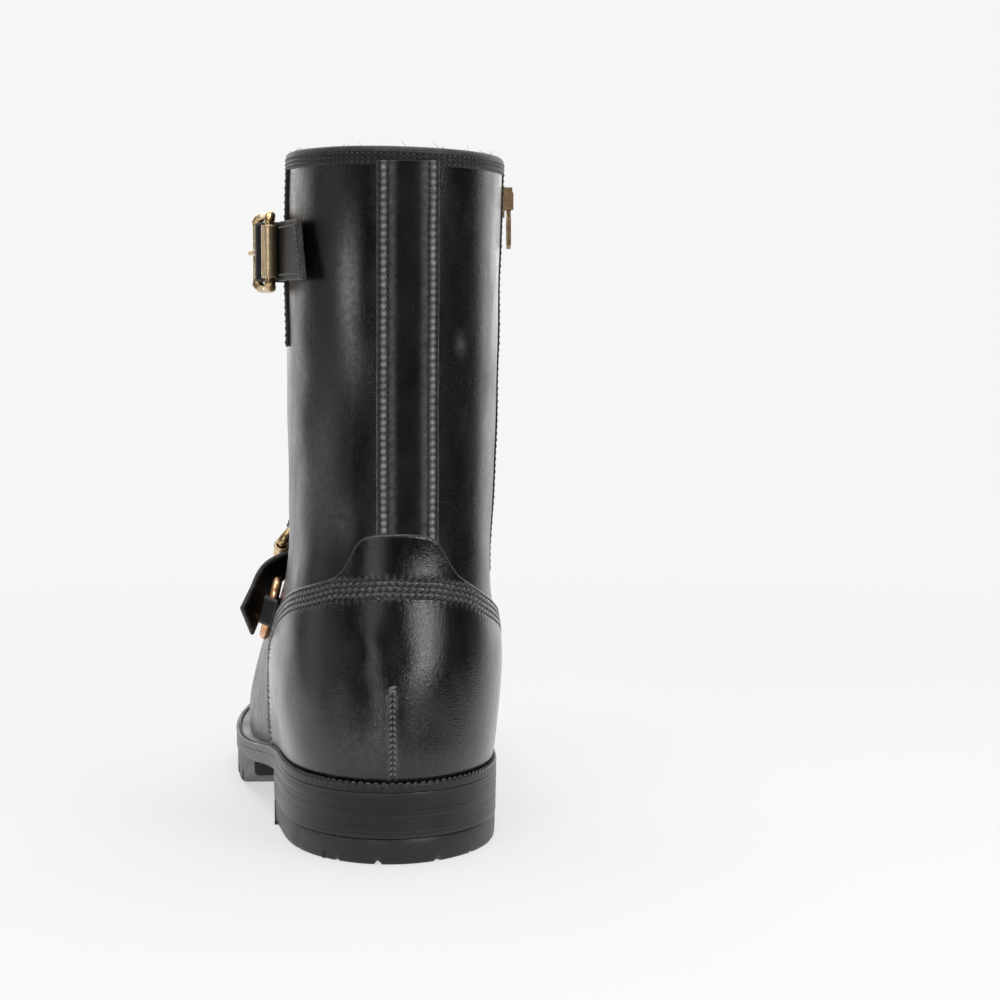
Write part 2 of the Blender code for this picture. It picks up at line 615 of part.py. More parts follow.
def buckle(prefix, place, roller_len, half_wide, parts=None):
    """Centre-bar buckle: a bent wire frame, a roller on its rear bar, and a prong
    hinged on the centre bar whose tip rests on the front bar."""
    reach, narrow, r = BUCKLE_HALF, roller_len / 2 + 0.9, 6.0
    half = [(reach, 0.0), (reach, narrow)]
    for a in (22.5, 45, 67.5):
        half.append((reach - (1 - math.cos(math.radians(a))) * r,
                     narrow + math.sin(math.radians(a)) * (half_wide - narrow)))
    half += [(4.0, half_wide), (0.0, half_wide)]
    half += [(-t, w) for t, w in half[5::-1]]
    path = half[:-1] + [(t, -w) for t, w in half[::-1][:-1]]
    pts = [place.at(t, -BUCKLE_DIP * (1 - (t / reach) ** 2), w) for t, w in path]
    frame = tube(f"{prefix}_buckle_frame", pts, ROD, "antique_brass", cyclic=True)
    bar = tube(f"{prefix}_bar", [place.at(0, -BUCKLE_DIP, -half_wide - 0.2),
                                 place.at(0, -BUCKLE_DIP, half_wide + 0.2)],
               ROD * 0.9, "antique_brass")
    CUTTERS.objects.link(bar)
    BOOT.objects.unlink(bar)
    bar.hide_render, bar.display_type = True, "WIRE"
    boolean(frame, bar, "UNION")
    roller = turned(f"{prefix}_buckle_roller", place, reach, 0.0, roller_len, ROLLER_R,
                    ROD + 0.35, "antique_brass")
    # prong: an eye round the centre bar, and a tongue that lies on the front bar
    low = -BUCKLE_DIP
    eye = turned(f"{prefix}_buckle_prong", place, 0.0, low, 2.8, 2.75, BAR_R + 0.25,
                 "antique_brass", 14)
    line = ((-2.2, low + 1.7, 0.8, 1.3), (-6.0, low + 3.2, 0.85, 1.3),
            (-10.5, 2.4, 0.85, 1.2), (-13.2, 2.85, 0.8, 1.1), (-16.2, 2.5, 0.5, 0.7))
    loops = [[place.at(t, n + g, -h), place.at(t, n + g, h), place.at(t, n - g, h),
              place.at(t, n - g, -h)] for t, n, g, h in line]
    matrix = eye.matrix_world.inverted()
    tongue = loft(f"{prefix}_tongue", loops, None, collection=CUTTERS)
    boolean(eye, tongue, "UNION")
    return frame, roller, eye


def block(name, place, t, n, w):
    """A cutter between two places along the strap, out of it and across it."""
    loops = [[place.at(a, n[0], w[0]), place.at(a, n[0], w[1]), place.at(a, n[1], w[1]),
              place.at(a, n[1], w[0])] for a in t]
    return loft(name, loops, None, collection=CUTTERS)


BAR_R = ROD * 0.9
STRAP_FRONT_N = -(ROD + GAP + STRAP_T / 2)
STRAP_CENTRE_N = -BUCKLE_DIP + BAR_R + 0.25 + TAB_T + 0.25 + STRAP_T / 2
STRAP_ROLLER_N = -(ROLLER_R + 0.25 + STRAP_T / 2)


def strap_in_buckle(place):
    """The strap's way through the buckle: under the front bar, over the centre
    bar and its tab, and under the roller."""
    spots = ((-BUCKLE_HALF - 6, STRAP_FRONT_N + 0.1), (-BUCKLE_HALF, STRAP_FRONT_N),
             (-7.6, -0.9), (-2.4, STRAP_CENTRE_N), (2.4, STRAP_CENTRE_N),
             (7.4, -1.8), (BUCKLE_HALF - 1.5, STRAP_ROLLER_N),
             (BUCKLE_HALF + 3.0, STRAP_ROLLER_N))
    return [place.at(t, n) for t, n in spots]


def tab_round_bar(place, tail, tail_normals, width, name, hole=2.0):
    """A thin tab hung on the centre bar: from over the bar, round its front and
    back along the boot under the strap."""
    r = BAR_R + 0.25 + TAB_T / 2
    points, normals = [], []
    for a in (100, 60, 20, -20, -60, -90):
        c, d = math.cos(math.radians(a)), math.sin(math.radians(a))
        points.append(place.at(-r * c, -BUCKLE_DIP + r * d))
        normals.append(-c * place.t + d * place.n)
    points += [place.at(4.5, -BUCKLE_DIP - r - 0.6)] + list(tail)
    normals += [-place.n] + [-np.array(q) for q in tail_normals]
    tab = strap(name, points, normals, width, TAB_T, across=place.w, step=1.7)
    return boolean(tab, block(f"{name}_hole", place, (-8, 5.5), (-8, 6), (-hole, hole)))


def build_collar_strap():
    """Strap on the outer side of the collar: a sewn end in front, then through
    the buckle, and a free end that points back, lifted off the shaft."""
    z = 216.0
    place = Place((-42.6, 41.0, z), (0.16, -0.987, 0.0), (-0.987, -0.16, 0.0))

    def skin(y, off):
        p, n = on_skin((-150, y, z), (150, y, z))
        return p + off * n, n

    rest = GAP + 0.4 + STRAP_T / 2
    sewn = [bearing_skin(b, z, (5.0, 41.0)) for b in (-14.0, -20.0, -26.0, -32.0, -38.0, -44.0)]
    free = [skin(y, GAP + TAB_T + 0.3 + STRAP_T / 2 + lift)
            for y, lift in ((15.0, 0.2), (6.0, 0.6), (-4.0, 1.6))]
    points = [p + rest * n for p, n in sewn] + strap_in_buckle(place) + [p for p, _ in free]
    normals = [n for _, n in sewn] + [place.n] * 8 + [n for _, n in free]
    body = strap("collar_strap", points, normals, COLLAR_STRAP_W, STRAP_T, slant=3.5)
    boolean(body, block("collar_strap_hole", place, (-10.5, -1.0), (-9, 8), (-1.9, 1.9)))
    tail = [skin(y, GAP + 0.1 + TAB_T / 2) for y in (36.5, 32.4)]
    tab_round_bar(place, [p for p, _ in tail], [n for _, n in tail], 19.0, "collar_tab")
    buckle("collar", place, 19.5, 13.6)


INSTEP_PATH = (  # bearing from straight ahead, height: over the instep, then down inside
    (-13.0, 118.5), (0.0, 120.0), (17.0, 118.0), (34.0, 112.0),
    (50.0, 102.0), (63.0, 89.0), (73.0, 75.0), (80.0, 60.0), (84.0, 46.0), (86.5, 35.0),
)


def build_instep_strap():
    """Strap across the instep. It is sewn in above the welt on the inner side,
    crosses in front of the ankle and runs down to a buckle on the outer side;
    its free end hangs out over the harness ring."""
    roller, n_roller = bearing_skin(-59.5, 94.0)
    front, n_front = bearing_skin(-37.0, 107.0)
    along = roller - front
    out = 1.6 * n_roller + n_front
    place = Place((0, 0, 0), along, out)
    # stand the buckle off the boot so that the strap passes under its roller
    reach = roller + place.n * (GAP + 0.9 + STRAP_T + 0.3 + ROLLER_R)
    place = Place(reach - place.t * BUCKLE_HALF, along, out)

    path = []
    for bearing, z in INSTEP_PATH[::-1]:
        p, n = bearing_skin(bearing, z)
        path.append((p, n))
    # stations across the strap keep it clear of the hollow in front of the ankle
    points, normals = [], []
    for k, (p, n) in enumerate(path):
        q0, q1 = path[max(k - 1, 0)][0], path[min(k + 1, len(path) - 1)][0]
        t = (q1 - q0) / np.linalg.norm(q1 - q0)
        w = np.cross(t, n)
        w /= np.linalg.norm(w)
        lift = 0.0
        for side in (-1, -0.5, 0.5, 1):
            e = p + w * side * INSTEP_STRAP_W / 2
            hit, _ = on_skin(e + n * 60, e)
            lift = max(lift, float(np.dot(hit - p, n)))
        points.append(p + n * (GAP + 0.4 + STRAP_T / 2 + lift))
        normals.append(n)
    free = [((-41.4, 84.3, 88.2), (-0.70, 0.45, 0.35)),
            ((-46.3, 77.6, 81.0), (-0.68, 0.55, 0.28)),
            ((-49.3, 71.0, 72.3), (-0.66, 0.73, 0.2))]
    points += strap_in_buckle(place) + [np.array(p) for p, _ in free]
    normals += [place.n] * 8 + [np.array(n) for _, n in free]
    body = strap("instep_strap", points, normals, INSTEP_STRAP_W, STRAP_T, step=3.0)
    boolean(body, block("instep_strap_hole", place, (-10.5, -1.0), (-9, 8), (-1.9, 1.9)))
    tail = []
    for t in (4.6, 7.6):
        hit, m = on_skin(place.at(t) + place.n * 40, place.at(t) - place.n * 20)
        tail.append((hit + m * (GAP + 0.8 + TAB_T / 2), m))
    tab_round_bar(place, [p for p, _ in tail], [m for _, m in tail], 8.5, "instep_tab")
    buckle("instep", place, 15.0, 11.2)
    return place


def build_ring():
    """Harness ring on the outer side, just in front of the counter, and the tab
    that is looped round its rear and sewn down at the counter's edge."""
    centre, n = bearing_skin(-86.0, 77.0)
    up = np.array((0.0, 0.0, 1.0))
    up = up - np.dot(up, n) * n
    up /= np.linalg.norm(up)
    back = np.cross(n, up)
    back *= -np.sign(back[1])          # towards the heel
    # the ring lies on the boot: as high as the farthest part under its wire
    lift = 0.0
    for a in np.linspace(0, 2 * math.pi, 24, endpoint=False):
        spot = centre + (RING_R + 1) * (math.cos(a) * back + math.sin(a) * up)
        hit, _ = on_skin(spot + n * 60, spot)
        lift = max(lift, float(np.dot(hit - centre, n)))
    middle = centre + n * (lift + GAP + 0.2 + RING_ROD)
    ring_path = [middle + RING_R * (math.cos(a) * back + math.sin(a) * up)
                 for a in np.linspace(0, 2 * math.pi, 32, endpoint=False)]
    tube("harness_ring", ring_path, RING_ROD, "antique_brass", cyclic=True)

    width, thick = 11.0, TAB_T
    bow = RING_R - math.sqrt(RING_R ** 2 - (width / 2) ** 2)
    place = Place(middle + RING_R * back, back, n)
    rn, rt = RING_ROD + 0.5 + thick / 2, RING_ROD + bow + 0.9 + thick / 2
    points, normals = [], []
    for a in (60, 90, 120, 150, 180, 205, 225):
        c, d = math.cos(math.radians(a)), math.sin(math.radians(a))
        points.append(place.at((rt if c < 0 else rn) * c, rn * d))
        normals.append(c * place.t + d * place.n)
    tail = []
    for t in (6.0, 10.0):
        spot = place.at(t)
        hit, m = on_skin(spot + n * 60, spot - n * 20)
        tail.append((hit + m * (GAP + 0.9 + thick / 2), m))
    points = [tail[1][0], tail[0][0]] + points
    normals = [tail[1][1], tail[0][1]] + normals
    strap("ring_tab", points, normals, width, thick, across=place.w, step=1.6)
    return middle, back, up, n


def build_zip():
    """Zip in the slot on the inner side: the closed chain, its slider and the
    pull tab, which hangs from a bar across the slider."""
    mid_y = sum(ZIP_Y) / 2
    width = ZIP_Y[1] - ZIP_Y[0] - 2 * 0.35

    def wall(z):
        p, n = on_skin((150, mid_y, z), (0, mid_y, z))
        return p, n

    points, normals = [], []
    for z in np.linspace(ZIP_BOTTOM_Z + 1.0, 244.0, 22):
        p, n = wall(z)
        points.append(p - n * 1.5)
        normals.append(n)
    strap("zip_chain", points, normals, width, 1.8, "zip_fabric", step=8.0, across=(0, 1, 0))

    p, n = wall(236.0)
    low, _ = wall(228.0)
    high, _ = wall(242.0)
    face = max(p[0], low[0], high[0]) + GAP
    hinge = Vector((face + 3.2, mid_y, 233.4))
    body = box("zip_slider", (face, mid_y - 4.4, 229.0), (face + 1.2, mid_y + 4.4, 241.0),
               "antique_brass", BOOT)
    crown = box("slider_crown", (face + 0.5, mid_y - 3.5, 235.9), (face + 4.3, mid_y + 3.5, 240.4))
    boolean(body, crown, "UNION")
    for side in (-1, 1):
        y = mid_y + side * 3.0
        cheek = box(f"slider_cheek_{'a' if side < 0 else 'b'}",
                    (face + 0.6, min(y, y + side * 1.2), 231.9),
                    (face + 4.6, max(y, y + side * 1.2), 238.5))
        boolean(body, cheek, "UNION")
    bar = tube("slider_bar", [(hinge.x, mid_y - 3.6, hinge.z), (hinge.x, mid_y + 3.6, hinge.z)],
               0.75, "antique_brass")
    CUTTERS.objects.link(bar)
    BOOT.objects.unlink(bar)
    bar.hide_render, bar.display_type = True, "WIRE"
    boolean(body, bar, "UNION")

    axis = Place(hinge, (0, 0, -1), (1, 0, 0))
    pull = turned("zip_pull", axis, 0.0, 0.0, 4.6, 1.7, 1.05, "antique_brass", 14)
    outline_pull = ((1.3, 1.5), (3.0, 1.5), (5.0, 2.5), (12.0, 2.6), (14.6, 2.2), (16.0, 1.0))
    loops = [[axis.at(t, 0.7, -h), axis.at(t, 0.7, h), axis.at(t, -0.7, h), axis.at(t, -0.7, -h)]
             for t, h in outline_pull]
    boolean(pull, loft("pull_plate", loops, None, collection=CUTTERS), "UNION")
    boolean(pull, block("pull_hole", axis, (6.5, 12.5), (-3, 3), (-1.1, 1.1)))
    return hinge


# ------------------------------------------------------------- build in turn
build_upper()
build_counter()
build_welt()
build_midsole()
build_insole()
build_half_sole()
build_heel()
build_collar_strap()
INSTEP = build_instep_strap()
RING = build_ring()
HINGE = build_zip()
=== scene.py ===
"""Looks of the engineer boot: the fine surfaces, seams, stitches, metal and
finishes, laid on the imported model. Lengths are in mm until a mesh is made."""

import math

import bmesh
import bpy
import numpy as np
from mathutils import Matrix, Vector
from mathutils.bvhtree import BVHTree


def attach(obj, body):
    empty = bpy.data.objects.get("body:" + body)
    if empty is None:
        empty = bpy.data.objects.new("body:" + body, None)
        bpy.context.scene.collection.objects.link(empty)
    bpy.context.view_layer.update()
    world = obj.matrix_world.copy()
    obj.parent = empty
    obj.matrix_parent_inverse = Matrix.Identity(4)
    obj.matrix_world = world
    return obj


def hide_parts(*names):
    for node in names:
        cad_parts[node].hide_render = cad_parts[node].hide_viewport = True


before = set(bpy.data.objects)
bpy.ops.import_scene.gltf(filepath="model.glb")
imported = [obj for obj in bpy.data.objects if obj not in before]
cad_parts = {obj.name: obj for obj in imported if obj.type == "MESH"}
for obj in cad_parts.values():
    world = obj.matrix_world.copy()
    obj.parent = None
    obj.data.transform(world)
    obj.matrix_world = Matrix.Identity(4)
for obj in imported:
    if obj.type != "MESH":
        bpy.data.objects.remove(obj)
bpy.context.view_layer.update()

MM = 0.001

# ---------------------------------------------------------------- sizes, mm
LEATHER = 2.4          # wall of the upper, leather and lining together
GAP = 0.3              # air left between two touching pieces
WELT_OUT = 6.0         # how far the welt stands out from the upper
WELT_T = 3.0
COLLAR_TILT = 0.03     # the collar's line falls towards the zip's side
MIDSOLE_T = 4.0
HEEL_SEAT_Z = 29.0     # height of the welt's top at the heel
BALL_Z = 19.0          # height of the welt's top at the ball of the foot
TOE_SPRING = 9.0       # rise of the sole at the toe
WELT_HEEL = 4.0        # the welt is narrower round the heel
LUG_DEPTH = 4.5
HEEL_LIFT_T = 9.0      # rubber top piece under the heel stack
HEEL_BREAST_Y = 36.0   # front face of the heel
HALF_SOLE_Y = 84.0     # rear end of the lugged half sole
COUNTER_T = 1.6
INSOLE_RISE = 2.5      # insole's top above the welt's top
STRAP_T = 1.6
TAB_T = 1.0
COLLAR_STRAP_W = 22.0
INSTEP_STRAP_W = 17.0
ROD = 1.6              # radius of the buckles' wire
ROLLER_R = 3.0
BUCKLE_HALF = 13.0     # centre bar to either end bar
BUCKLE_DIP = 2.0       # the centre bar sits this much lower than the end bars
RING_R = 10.9          # the harness ring: middle radius, and its wire's radius
RING_ROD = 2.0
ZIP_Y = (33.5, 40.5)   # slot for the zip in the inner side of the shaft
ZIP_BOTTOM_Z = 98.0

# Upper: one row for each level loop, from the sole's edge up to the collar.
# zb,yb is the loop's rear end and zf,yf its front end in the side view, xf the
# front end's sideways place, xc the loop's middle. follow is how much of the
# sole line's curve the loop keeps. l_* and m_* are half widths, on the outer
# (lateral) and the inner (medial) side, at six shares of the loop's length.
SHARES = (0.03, 0.13, 0.33, 0.56, 0.78, 0.94)
LEVEL_COLUMNS = ("name", "zb", "yb", "zf", "yf", "xf", "xc", "follow",
                 "l_heel", "l_seat", "l_waist", "l_ball", "l_toe", "l_tip",
                 "m_heel", "m_seat", "m_waist", "m_ball", "m_toe", "m_tip")
LEVELS = (
    ("feather",   26.5, -41.0,  24.5, 253.0,  7.0, 1.0, 1.00, 20.5, 36.3, 36.3, 50.5, 51.5, 27.5, 20.5, 39.3, 37.5, 37.0, 46.0, 33.0),
    ("rand",      35.0, -42.8,  34.0, 256.5,  7.0, 1.2, 0.95, 21.0, 38.0, 38.0, 51.0, 52.5, 30.0, 21.0, 40.7, 39.5, 40.0, 48.5, 35.5),
    ("wall",      44.0, -42.6,  44.0, 257.0,  7.0, 1.4, 0.70, 21.3, 39.2, 40.0, 48.5, 50.5, 30.5, 21.3, 41.4, 41.0, 42.2, 48.5, 36.0),
    ("bulge",     54.0, -41.5,  54.5, 251.0,  7.0, 1.6, 0.40, 21.0, 40.0, 41.0, 45.5, 47.5, 28.5, 21.0, 42.0, 43.0, 43.0, 46.0, 33.5),
    ("toe_top",   64.0, -39.5,  63.5, 237.0,  6.5, 1.8, 0.20, 20.5, 39.7, 41.5, 43.5, 42.0, 25.0, 20.5, 41.8, 43.5, 42.2, 41.5, 28.5),
    ("vamp_low",  74.0, -36.5,  70.5, 214.0,  5.5, 2.2, 0.00, 20.0, 38.8, 41.0, 41.0, 36.0, 21.0, 20.0, 40.6, 43.0, 40.8, 36.5, 23.0),
    ("vamp",      84.0, -33.0,  77.5, 188.0,  4.5, 2.6, 0.00, 19.5, 37.2, 40.0, 39.5, 32.5, 18.5, 19.5, 38.2, 41.0, 38.5, 33.0, 20.0),
    ("instep",    94.0, -30.0,  86.0, 162.0,  3.5, 3.2, 0.00, 19.0, 35.5, 38.8, 38.0, 30.5, 17.5, 19.0, 36.0, 39.0, 37.2, 30.5, 18.0),
    ("throat_lo", 105.0, -27.5, 97.0, 138.0,  3.2, 4.0, 0.00, 18.0, 33.5, 38.2, 37.5, 30.0, 17.0, 18.0, 34.0, 38.0, 37.0, 30.0, 17.0),
    ("throat",    118.0, -26.5, 112.0, 118.0, 4.0, 4.6, 0.00, 17.0, 31.5, 38.2, 38.0, 31.0, 18.0, 17.0, 31.5, 37.8, 38.0, 31.0, 18.0),
    ("ankle",     134.0, -26.5, 130.0, 107.5, 4.8, 5.0, 0.00, 16.5, 30.0, 38.6, 39.4, 33.0, 19.5, 16.5, 30.0, 38.0, 38.8, 33.0, 19.5),
    ("shaft_1",    154.0, -27.5, 152.0, 105.0, 5.2, 5.2, 0.00, 16.0, 29.1, 38.8, 40.0, 33.8, 20.5, 16.0, 29.5, 38.6, 39.6, 34.0, 20.5),
    ("shaft_2",    178.0, -29.0, 177.0, 106.0, 5.4, 5.4, 0.00, 16.0, 28.9, 39.0, 40.3, 34.2, 21.0, 16.0, 29.5, 38.6, 39.8, 34.4, 21.0),
    ("shaft_3",    203.0, -31.0, 203.0, 108.5, 5.6, 5.6, 0.00, 16.0, 29.0, 39.4, 40.8, 34.6, 21.4, 16.0, 29.6, 38.9, 40.2, 34.8, 21.4),
    ("shaft_4",    227.0, -32.0, 228.0, 111.0, 6.0, 6.0, 0.00, 16.0, 28.9, 39.5, 41.0, 34.7, 21.6, 16.0, 29.8, 39.2, 40.6, 35.2, 21.6),
    ("collar",     249.7, -32.5, 250.7, 112.5, 6.4, 6.4, 0.00, 16.0, 28.4, 39.2, 40.8, 34.4, 21.8, 16.0, 30.0, 39.6, 41.0, 35.6, 21.8),
)

# Counter: the height of its top line at bearings round the heel, in degrees
# from straight back, for the outer (-) and the inner (+) side. The raised tab
# stands over the back seam, and the front edges run down to the welt.
COUNTER_LINE = (
    (-158, 14.0), (-149, 20.0), (-146, 40.0), (-145, 55.0), (-143, 67.0),
    (-139, 76.0), (-132, 82.0), (-122, 86.0), (-108, 90.0), (-90, 93.5),
    (-72, 96.0), (-58, 98.0), (-48, 100.0), (-42, 103.5), (-37, 108.5),
    (-32, 112.5), (-25, 114.5), (-10, 115.5), (10, 115.5), (25, 114.5),
    (32, 112.5), (37, 108.5), (42, 103.5), (48, 99.6), (58, 96.8),
    (72, 92.8), (90, 88.8), (108, 84.8), (122, 80.8), (132, 76.0),
    (139, 69.5), (143, 61.0), (145, 50.0), (147, 37.0), (149, 20.0), (158, 14.0),
)


# --------------------------------------------------------- the boot's surface
def smooth(t):
    t = np.clip(t, 0.0, 1.0)
    return t * t * (3 - 2 * t)


def sole_line(y):
    """Height of the welt's top along the boot, mm: heel seat, shank, ball, toe spring."""
    y = np.asarray(y, float)
    shank = HEEL_SEAT_Z - (HEEL_SEAT_Z - BALL_Z) * smooth((y - 18.0) / 112.0)
    return shank + tread(y)


def tread(y):
    """Underside of the sole: flat on the floor, then up with the toe."""
    return TOE_SPRING * np.clip((np.asarray(y, float) - 145.0) / 116.0, 0, None) ** 1.5


def level_loop(row):
    """The control points of one level: rear end, outer side, front end, inner side."""
    r = dict(zip(LEVEL_COLUMNS, row))
    zb, yb, zf, yf = r["zb"], r["yb"], r["zf"], r["yf"]
    outer, inner = row[8:14], row[14:20]

    def place(share, half, side):
        y = yb + (yf - yb) * share
        z = zb + (zf - zb) * share
        middle = r["xc"] + (r["xf"] - r["xc"]) * smooth((share - 0.5) / 0.5)
        chord = LEVELS[0][1] + (LEVELS[0][3] - LEVELS[0][1]) * (y + 40.5) / 293.5
        z += r["follow"] * (float(sole_line(y)) - 2.5 - chord) * (0.0 if share in (0, 1) else 1.0)
        x = middle + side * half
        if r["name"] == "collar":
            z -= COLLAR_TILT * x
        return (x, y, z)

    loop = [place(0.0, 0.0, 1)]
    loop += [place(s, w, -1) for s, w in zip(SHARES, outer)]
    loop += [place(1.0, 0.0, 1)]
    loop += [place(s, w, 1) for s, w in reversed(list(zip(SHARES, inner)))]
    return loop


NET = np.array([level_loop(row) for row in LEVELS])   # levels, round the loop, xyz


def cubic(t):
    """The four uniform cubic B-spline weights."""
    return np.stack([(1 - t) ** 3, 3 * t ** 3 - 6 * t ** 2 + 4,
                     -3 * t ** 3 + 3 * t ** 2 + 3 * t + 1, t ** 3], -1) / 6.0


def surface(u, v):
    """Point on the upper's outer face. u runs round the boot, 0..1 from the back
    seam by the outer side; v runs 0..1 from the sole's edge to the collar."""
    u, v = np.broadcast_arrays(np.asarray(u, float), np.asarray(v, float))
    around, rows = NET.shape[1], NET.shape[0]
    ends = np.concatenate([[2 * NET[0] - NET[1]], NET, [2 * NET[-1] - NET[-2]]])
    a = (u % 1.0) * around
    i = np.floor(a).astype(int)
    b = np.clip(v, 0, 1) * (rows - 1)
    j = np.minimum(np.floor(b).astype(int), rows - 2)
    wu, wv = cubic(a - i), cubic(b - j)
    point = np.zeros(u.shape + (3,))
    for p in range(4):
        for q in range(4):
            point += (wv[..., p] * wu[..., q])[..., None] * ends[j + p, (i + q - 1) % around]
    return point


def normal(u, v):
    """Outward normal of the surface."""
    e = 1e-3
    du = surface(np.asarray(u) + e, v) - surface(np.asarray(u) - e, v)
    v1, v0 = np.clip(np.asarray(v) + e, 0, 1), np.clip(np.asarray(v) - e, 0, 1)
    n = np.cross(surface(u, v1) - surface(u, v0), du)
    return n / np.linalg.norm(n, axis=-1, keepdims=True)


def grid(nu, nv, offset=0.0, v0=0.0, v1=1.0):
    """nv+1 loops of nu points on the surface, offset outwards by offset mm."""
    u, v = np.meshgrid(np.arange(nu) / nu, np.linspace(v0, v1, nv + 1))
    return surface(u, v) + offset * normal(u, v)

def ring_offset(loop, out):
    """A plan outline moved outwards by out mm, along its own normals in plan."""
    p = np.asarray(loop)[:, :2]
    t = np.roll(p, -1, 0) - np.roll(p, 1, 0)
    n = np.stack([t[:, 1], -t[:, 0]], 1) / np.linalg.norm(t, axis=1, keepdims=True)
    area = np.sum(p[:, 0] * np.roll(p[:, 1], -1) - np.roll(p[:, 0], -1) * p[:, 1])
    return p + np.reshape(out, (-1, 1)) * n * (1 if area > 0 else -1)

AROUND, LEVELS_CUT = 40, 21   # facets of the upper


def skin_tree(nu, nv):
    faces = [(j * nu + i, j * nu + (i + 1) % nu, (j + 1) * nu + (i + 1) % nu, (j + 1) * nu + i)
             for j in range(nv) for i in range(nu)]
    return BVHTree.FromPolygons([Vector(p) for p in grid(nu, nv).reshape(-1, 3)], faces)


SKIN = skin_tree(AROUND, LEVELS_CUT)     # the facets that straps must clear
SMOOTH_SKIN = skin_tree(160, 100)        # for directions


def on_skin(start, towards):
    """Where a ray from outside first meets the upper, and the outward normal there."""
    direction = (Vector(towards) - Vector(start)).normalized()
    point, _, _, _ = SKIN.ray_cast(Vector(start), direction)
    _, n, _, _ = SMOOTH_SKIN.ray_cast(Vector(start), direction)
    if n.dot(direction) > 0:
        n = -n
    return np.array(point), np.array(n)


def bearing_skin(bearing, z, centre=(3.0, 72.0)):
    """The upper's surface at a height, at a bearing from straight ahead: minus
    is the outer side, plus the inner side."""
    b = math.radians(bearing)
    c = Vector((centre[0], centre[1], z))
    return on_skin(c + 200 * Vector((math.sin(b), math.cos(b), 0)), c)


FEATHER = surface(np.arange(60) / 60, np.zeros(60))


def crossings(p, y):
    """The x places where a closed plan outline meets the line at y."""
    found = []
    for a, b in zip(p, np.roll(p, -1, 0)):
        if (a[1] - y) * (b[1] - y) <= 0 and a[1] != b[1]:
            found.append(a[0] + (b[0] - a[0]) * (y - a[1]) / (b[1] - a[1]))
    return found


def outline(out):
    """The feather line in plan moved outwards, less far round the heel."""
    narrow = (WELT_OUT - WELT_HEEL) * (1 - smooth((FEATHER[:, 1] - 15.0) / 60.0))
    return ring_offset(FEATHER, out - narrow * (out > 0))


def under_welt(y):
    return sole_line(y) - GAP - WELT_T - GAP


def heel_outline(out):
    """The sole's outline cut off at the heel's breast, which is slightly hollow."""
    p = outline(out)
    xs = crossings(p, HEEL_BREAST_Y)
    keep = [tuple(q) for q in p if q[1] < HEEL_BREAST_Y - 1.5]
    # walk the rear arc in order, from the outer side round the back to the inner
    keep.sort(key=lambda q: math.atan2(q[0], -q[1]))
    left, right = min(xs), max(xs)
    breast = [(right + (left - right) * t, HEEL_BREAST_Y - 3.0 * math.sin(math.pi * t))
              for t in np.linspace(0, 1, 9)]
    return np.array(keep + breast)


NOTCH_BEARINGS = (-71.0, -32.0, -8.0, 24.0, 50.5)   # from straight back, degrees


def frames_along(points, normals, step=2.0):
    """Smooths a centreline through its points and reads it every step mm, with
    a tangent, an outward normal and a width direction at each place."""
    p, n = np.array(points, float), np.array(normals, float)
    n /= np.linalg.norm(n, axis=1, keepdims=True)
    pe = np.concatenate([[2 * p[0] - p[1]], p, [2 * p[-1] - p[-2]]])
    ne = np.concatenate([[n[0]], n, [n[-1]]])
    out_p, out_n = [], []
    for i in range(1, len(pe) - 2):
        length = np.linalg.norm(pe[i + 1] - pe[i])
        count = max(1, int(round(length / step)))
        for t in np.arange(count) / count:
            w = 0.5 * np.array([-t + 2 * t**2 - t**3, 2 - 5 * t**2 + 3 * t**3,
                                t + 4 * t**2 - 3 * t**3, -t**2 + t**3])
            out_p.append(w @ pe[i - 1:i + 3])
            out_n.append(w @ ne[i - 1:i + 3])
    out_p.append(pe[-2])
    out_n.append(ne[-2])
    p, n = np.array(out_p), np.array(out_n)
    t = np.gradient(p, axis=0)
    t /= np.linalg.norm(t, axis=1, keepdims=True)
    n -= np.sum(n * t, 1, keepdims=True) * t
    n /= np.linalg.norm(n, axis=1, keepdims=True)
    return p, t, n, np.cross(t, n)


class Place:
    """A buckle's own frame: t along the strap towards its free end, w across
    the strap, n out from the boot."""

    def __init__(self, origin, along, out):
        self.o = np.array(origin, float)
        self.t = np.array(along, float) / np.linalg.norm(along)
        n = np.array(out, float)
        n -= np.dot(n, self.t) * self.t
        self.n = n / np.linalg.norm(n)
        self.w = np.cross(self.t, self.n)

    def at(self, t, n=0.0, w=0.0):
        return self.o + t * self.t + n * self.n + w * self.w


BAR_R = ROD * 0.9
STRAP_FRONT_N = -(ROD + GAP + STRAP_T / 2)
STRAP_CENTRE_N = -BUCKLE_DIP + BAR_R + 0.25 + TAB_T + 0.25 + STRAP_T / 2
STRAP_ROLLER_N = -(ROLLER_R + 0.25 + STRAP_T / 2)


def strap_in_buckle(place):
    """The strap's way through the buckle: under the front bar, over the centre
    bar and its tab, and under the roller."""
    spots = ((-BUCKLE_HALF - 6, STRAP_FRONT_N + 0.1), (-BUCKLE_HALF, STRAP_FRONT_N),
             (-7.6, -0.9), (-2.4, STRAP_CENTRE_N), (2.4, STRAP_CENTRE_N),
             (7.4, -1.8), (BUCKLE_HALF - 1.5, STRAP_ROLLER_N),
             (BUCKLE_HALF + 3.0, STRAP_ROLLER_N))
    return [place.at(t, n) for t, n in spots]


INSTEP_PATH = (  # bearing from straight ahead, height: over the instep, then down inside
    (-13.0, 118.5), (0.0, 120.0), (17.0, 118.0), (34.0, 112.0),
    (50.0, 102.0), (63.0, 89.0), (73.0, 75.0), (80.0, 60.0), (84.0, 46.0), (86.5, 35.0),
)


# ------------------------------------------------------------- exact footing
FINE_U, FINE_V = 280, 220
FINE = skin_tree(FINE_U, FINE_V)


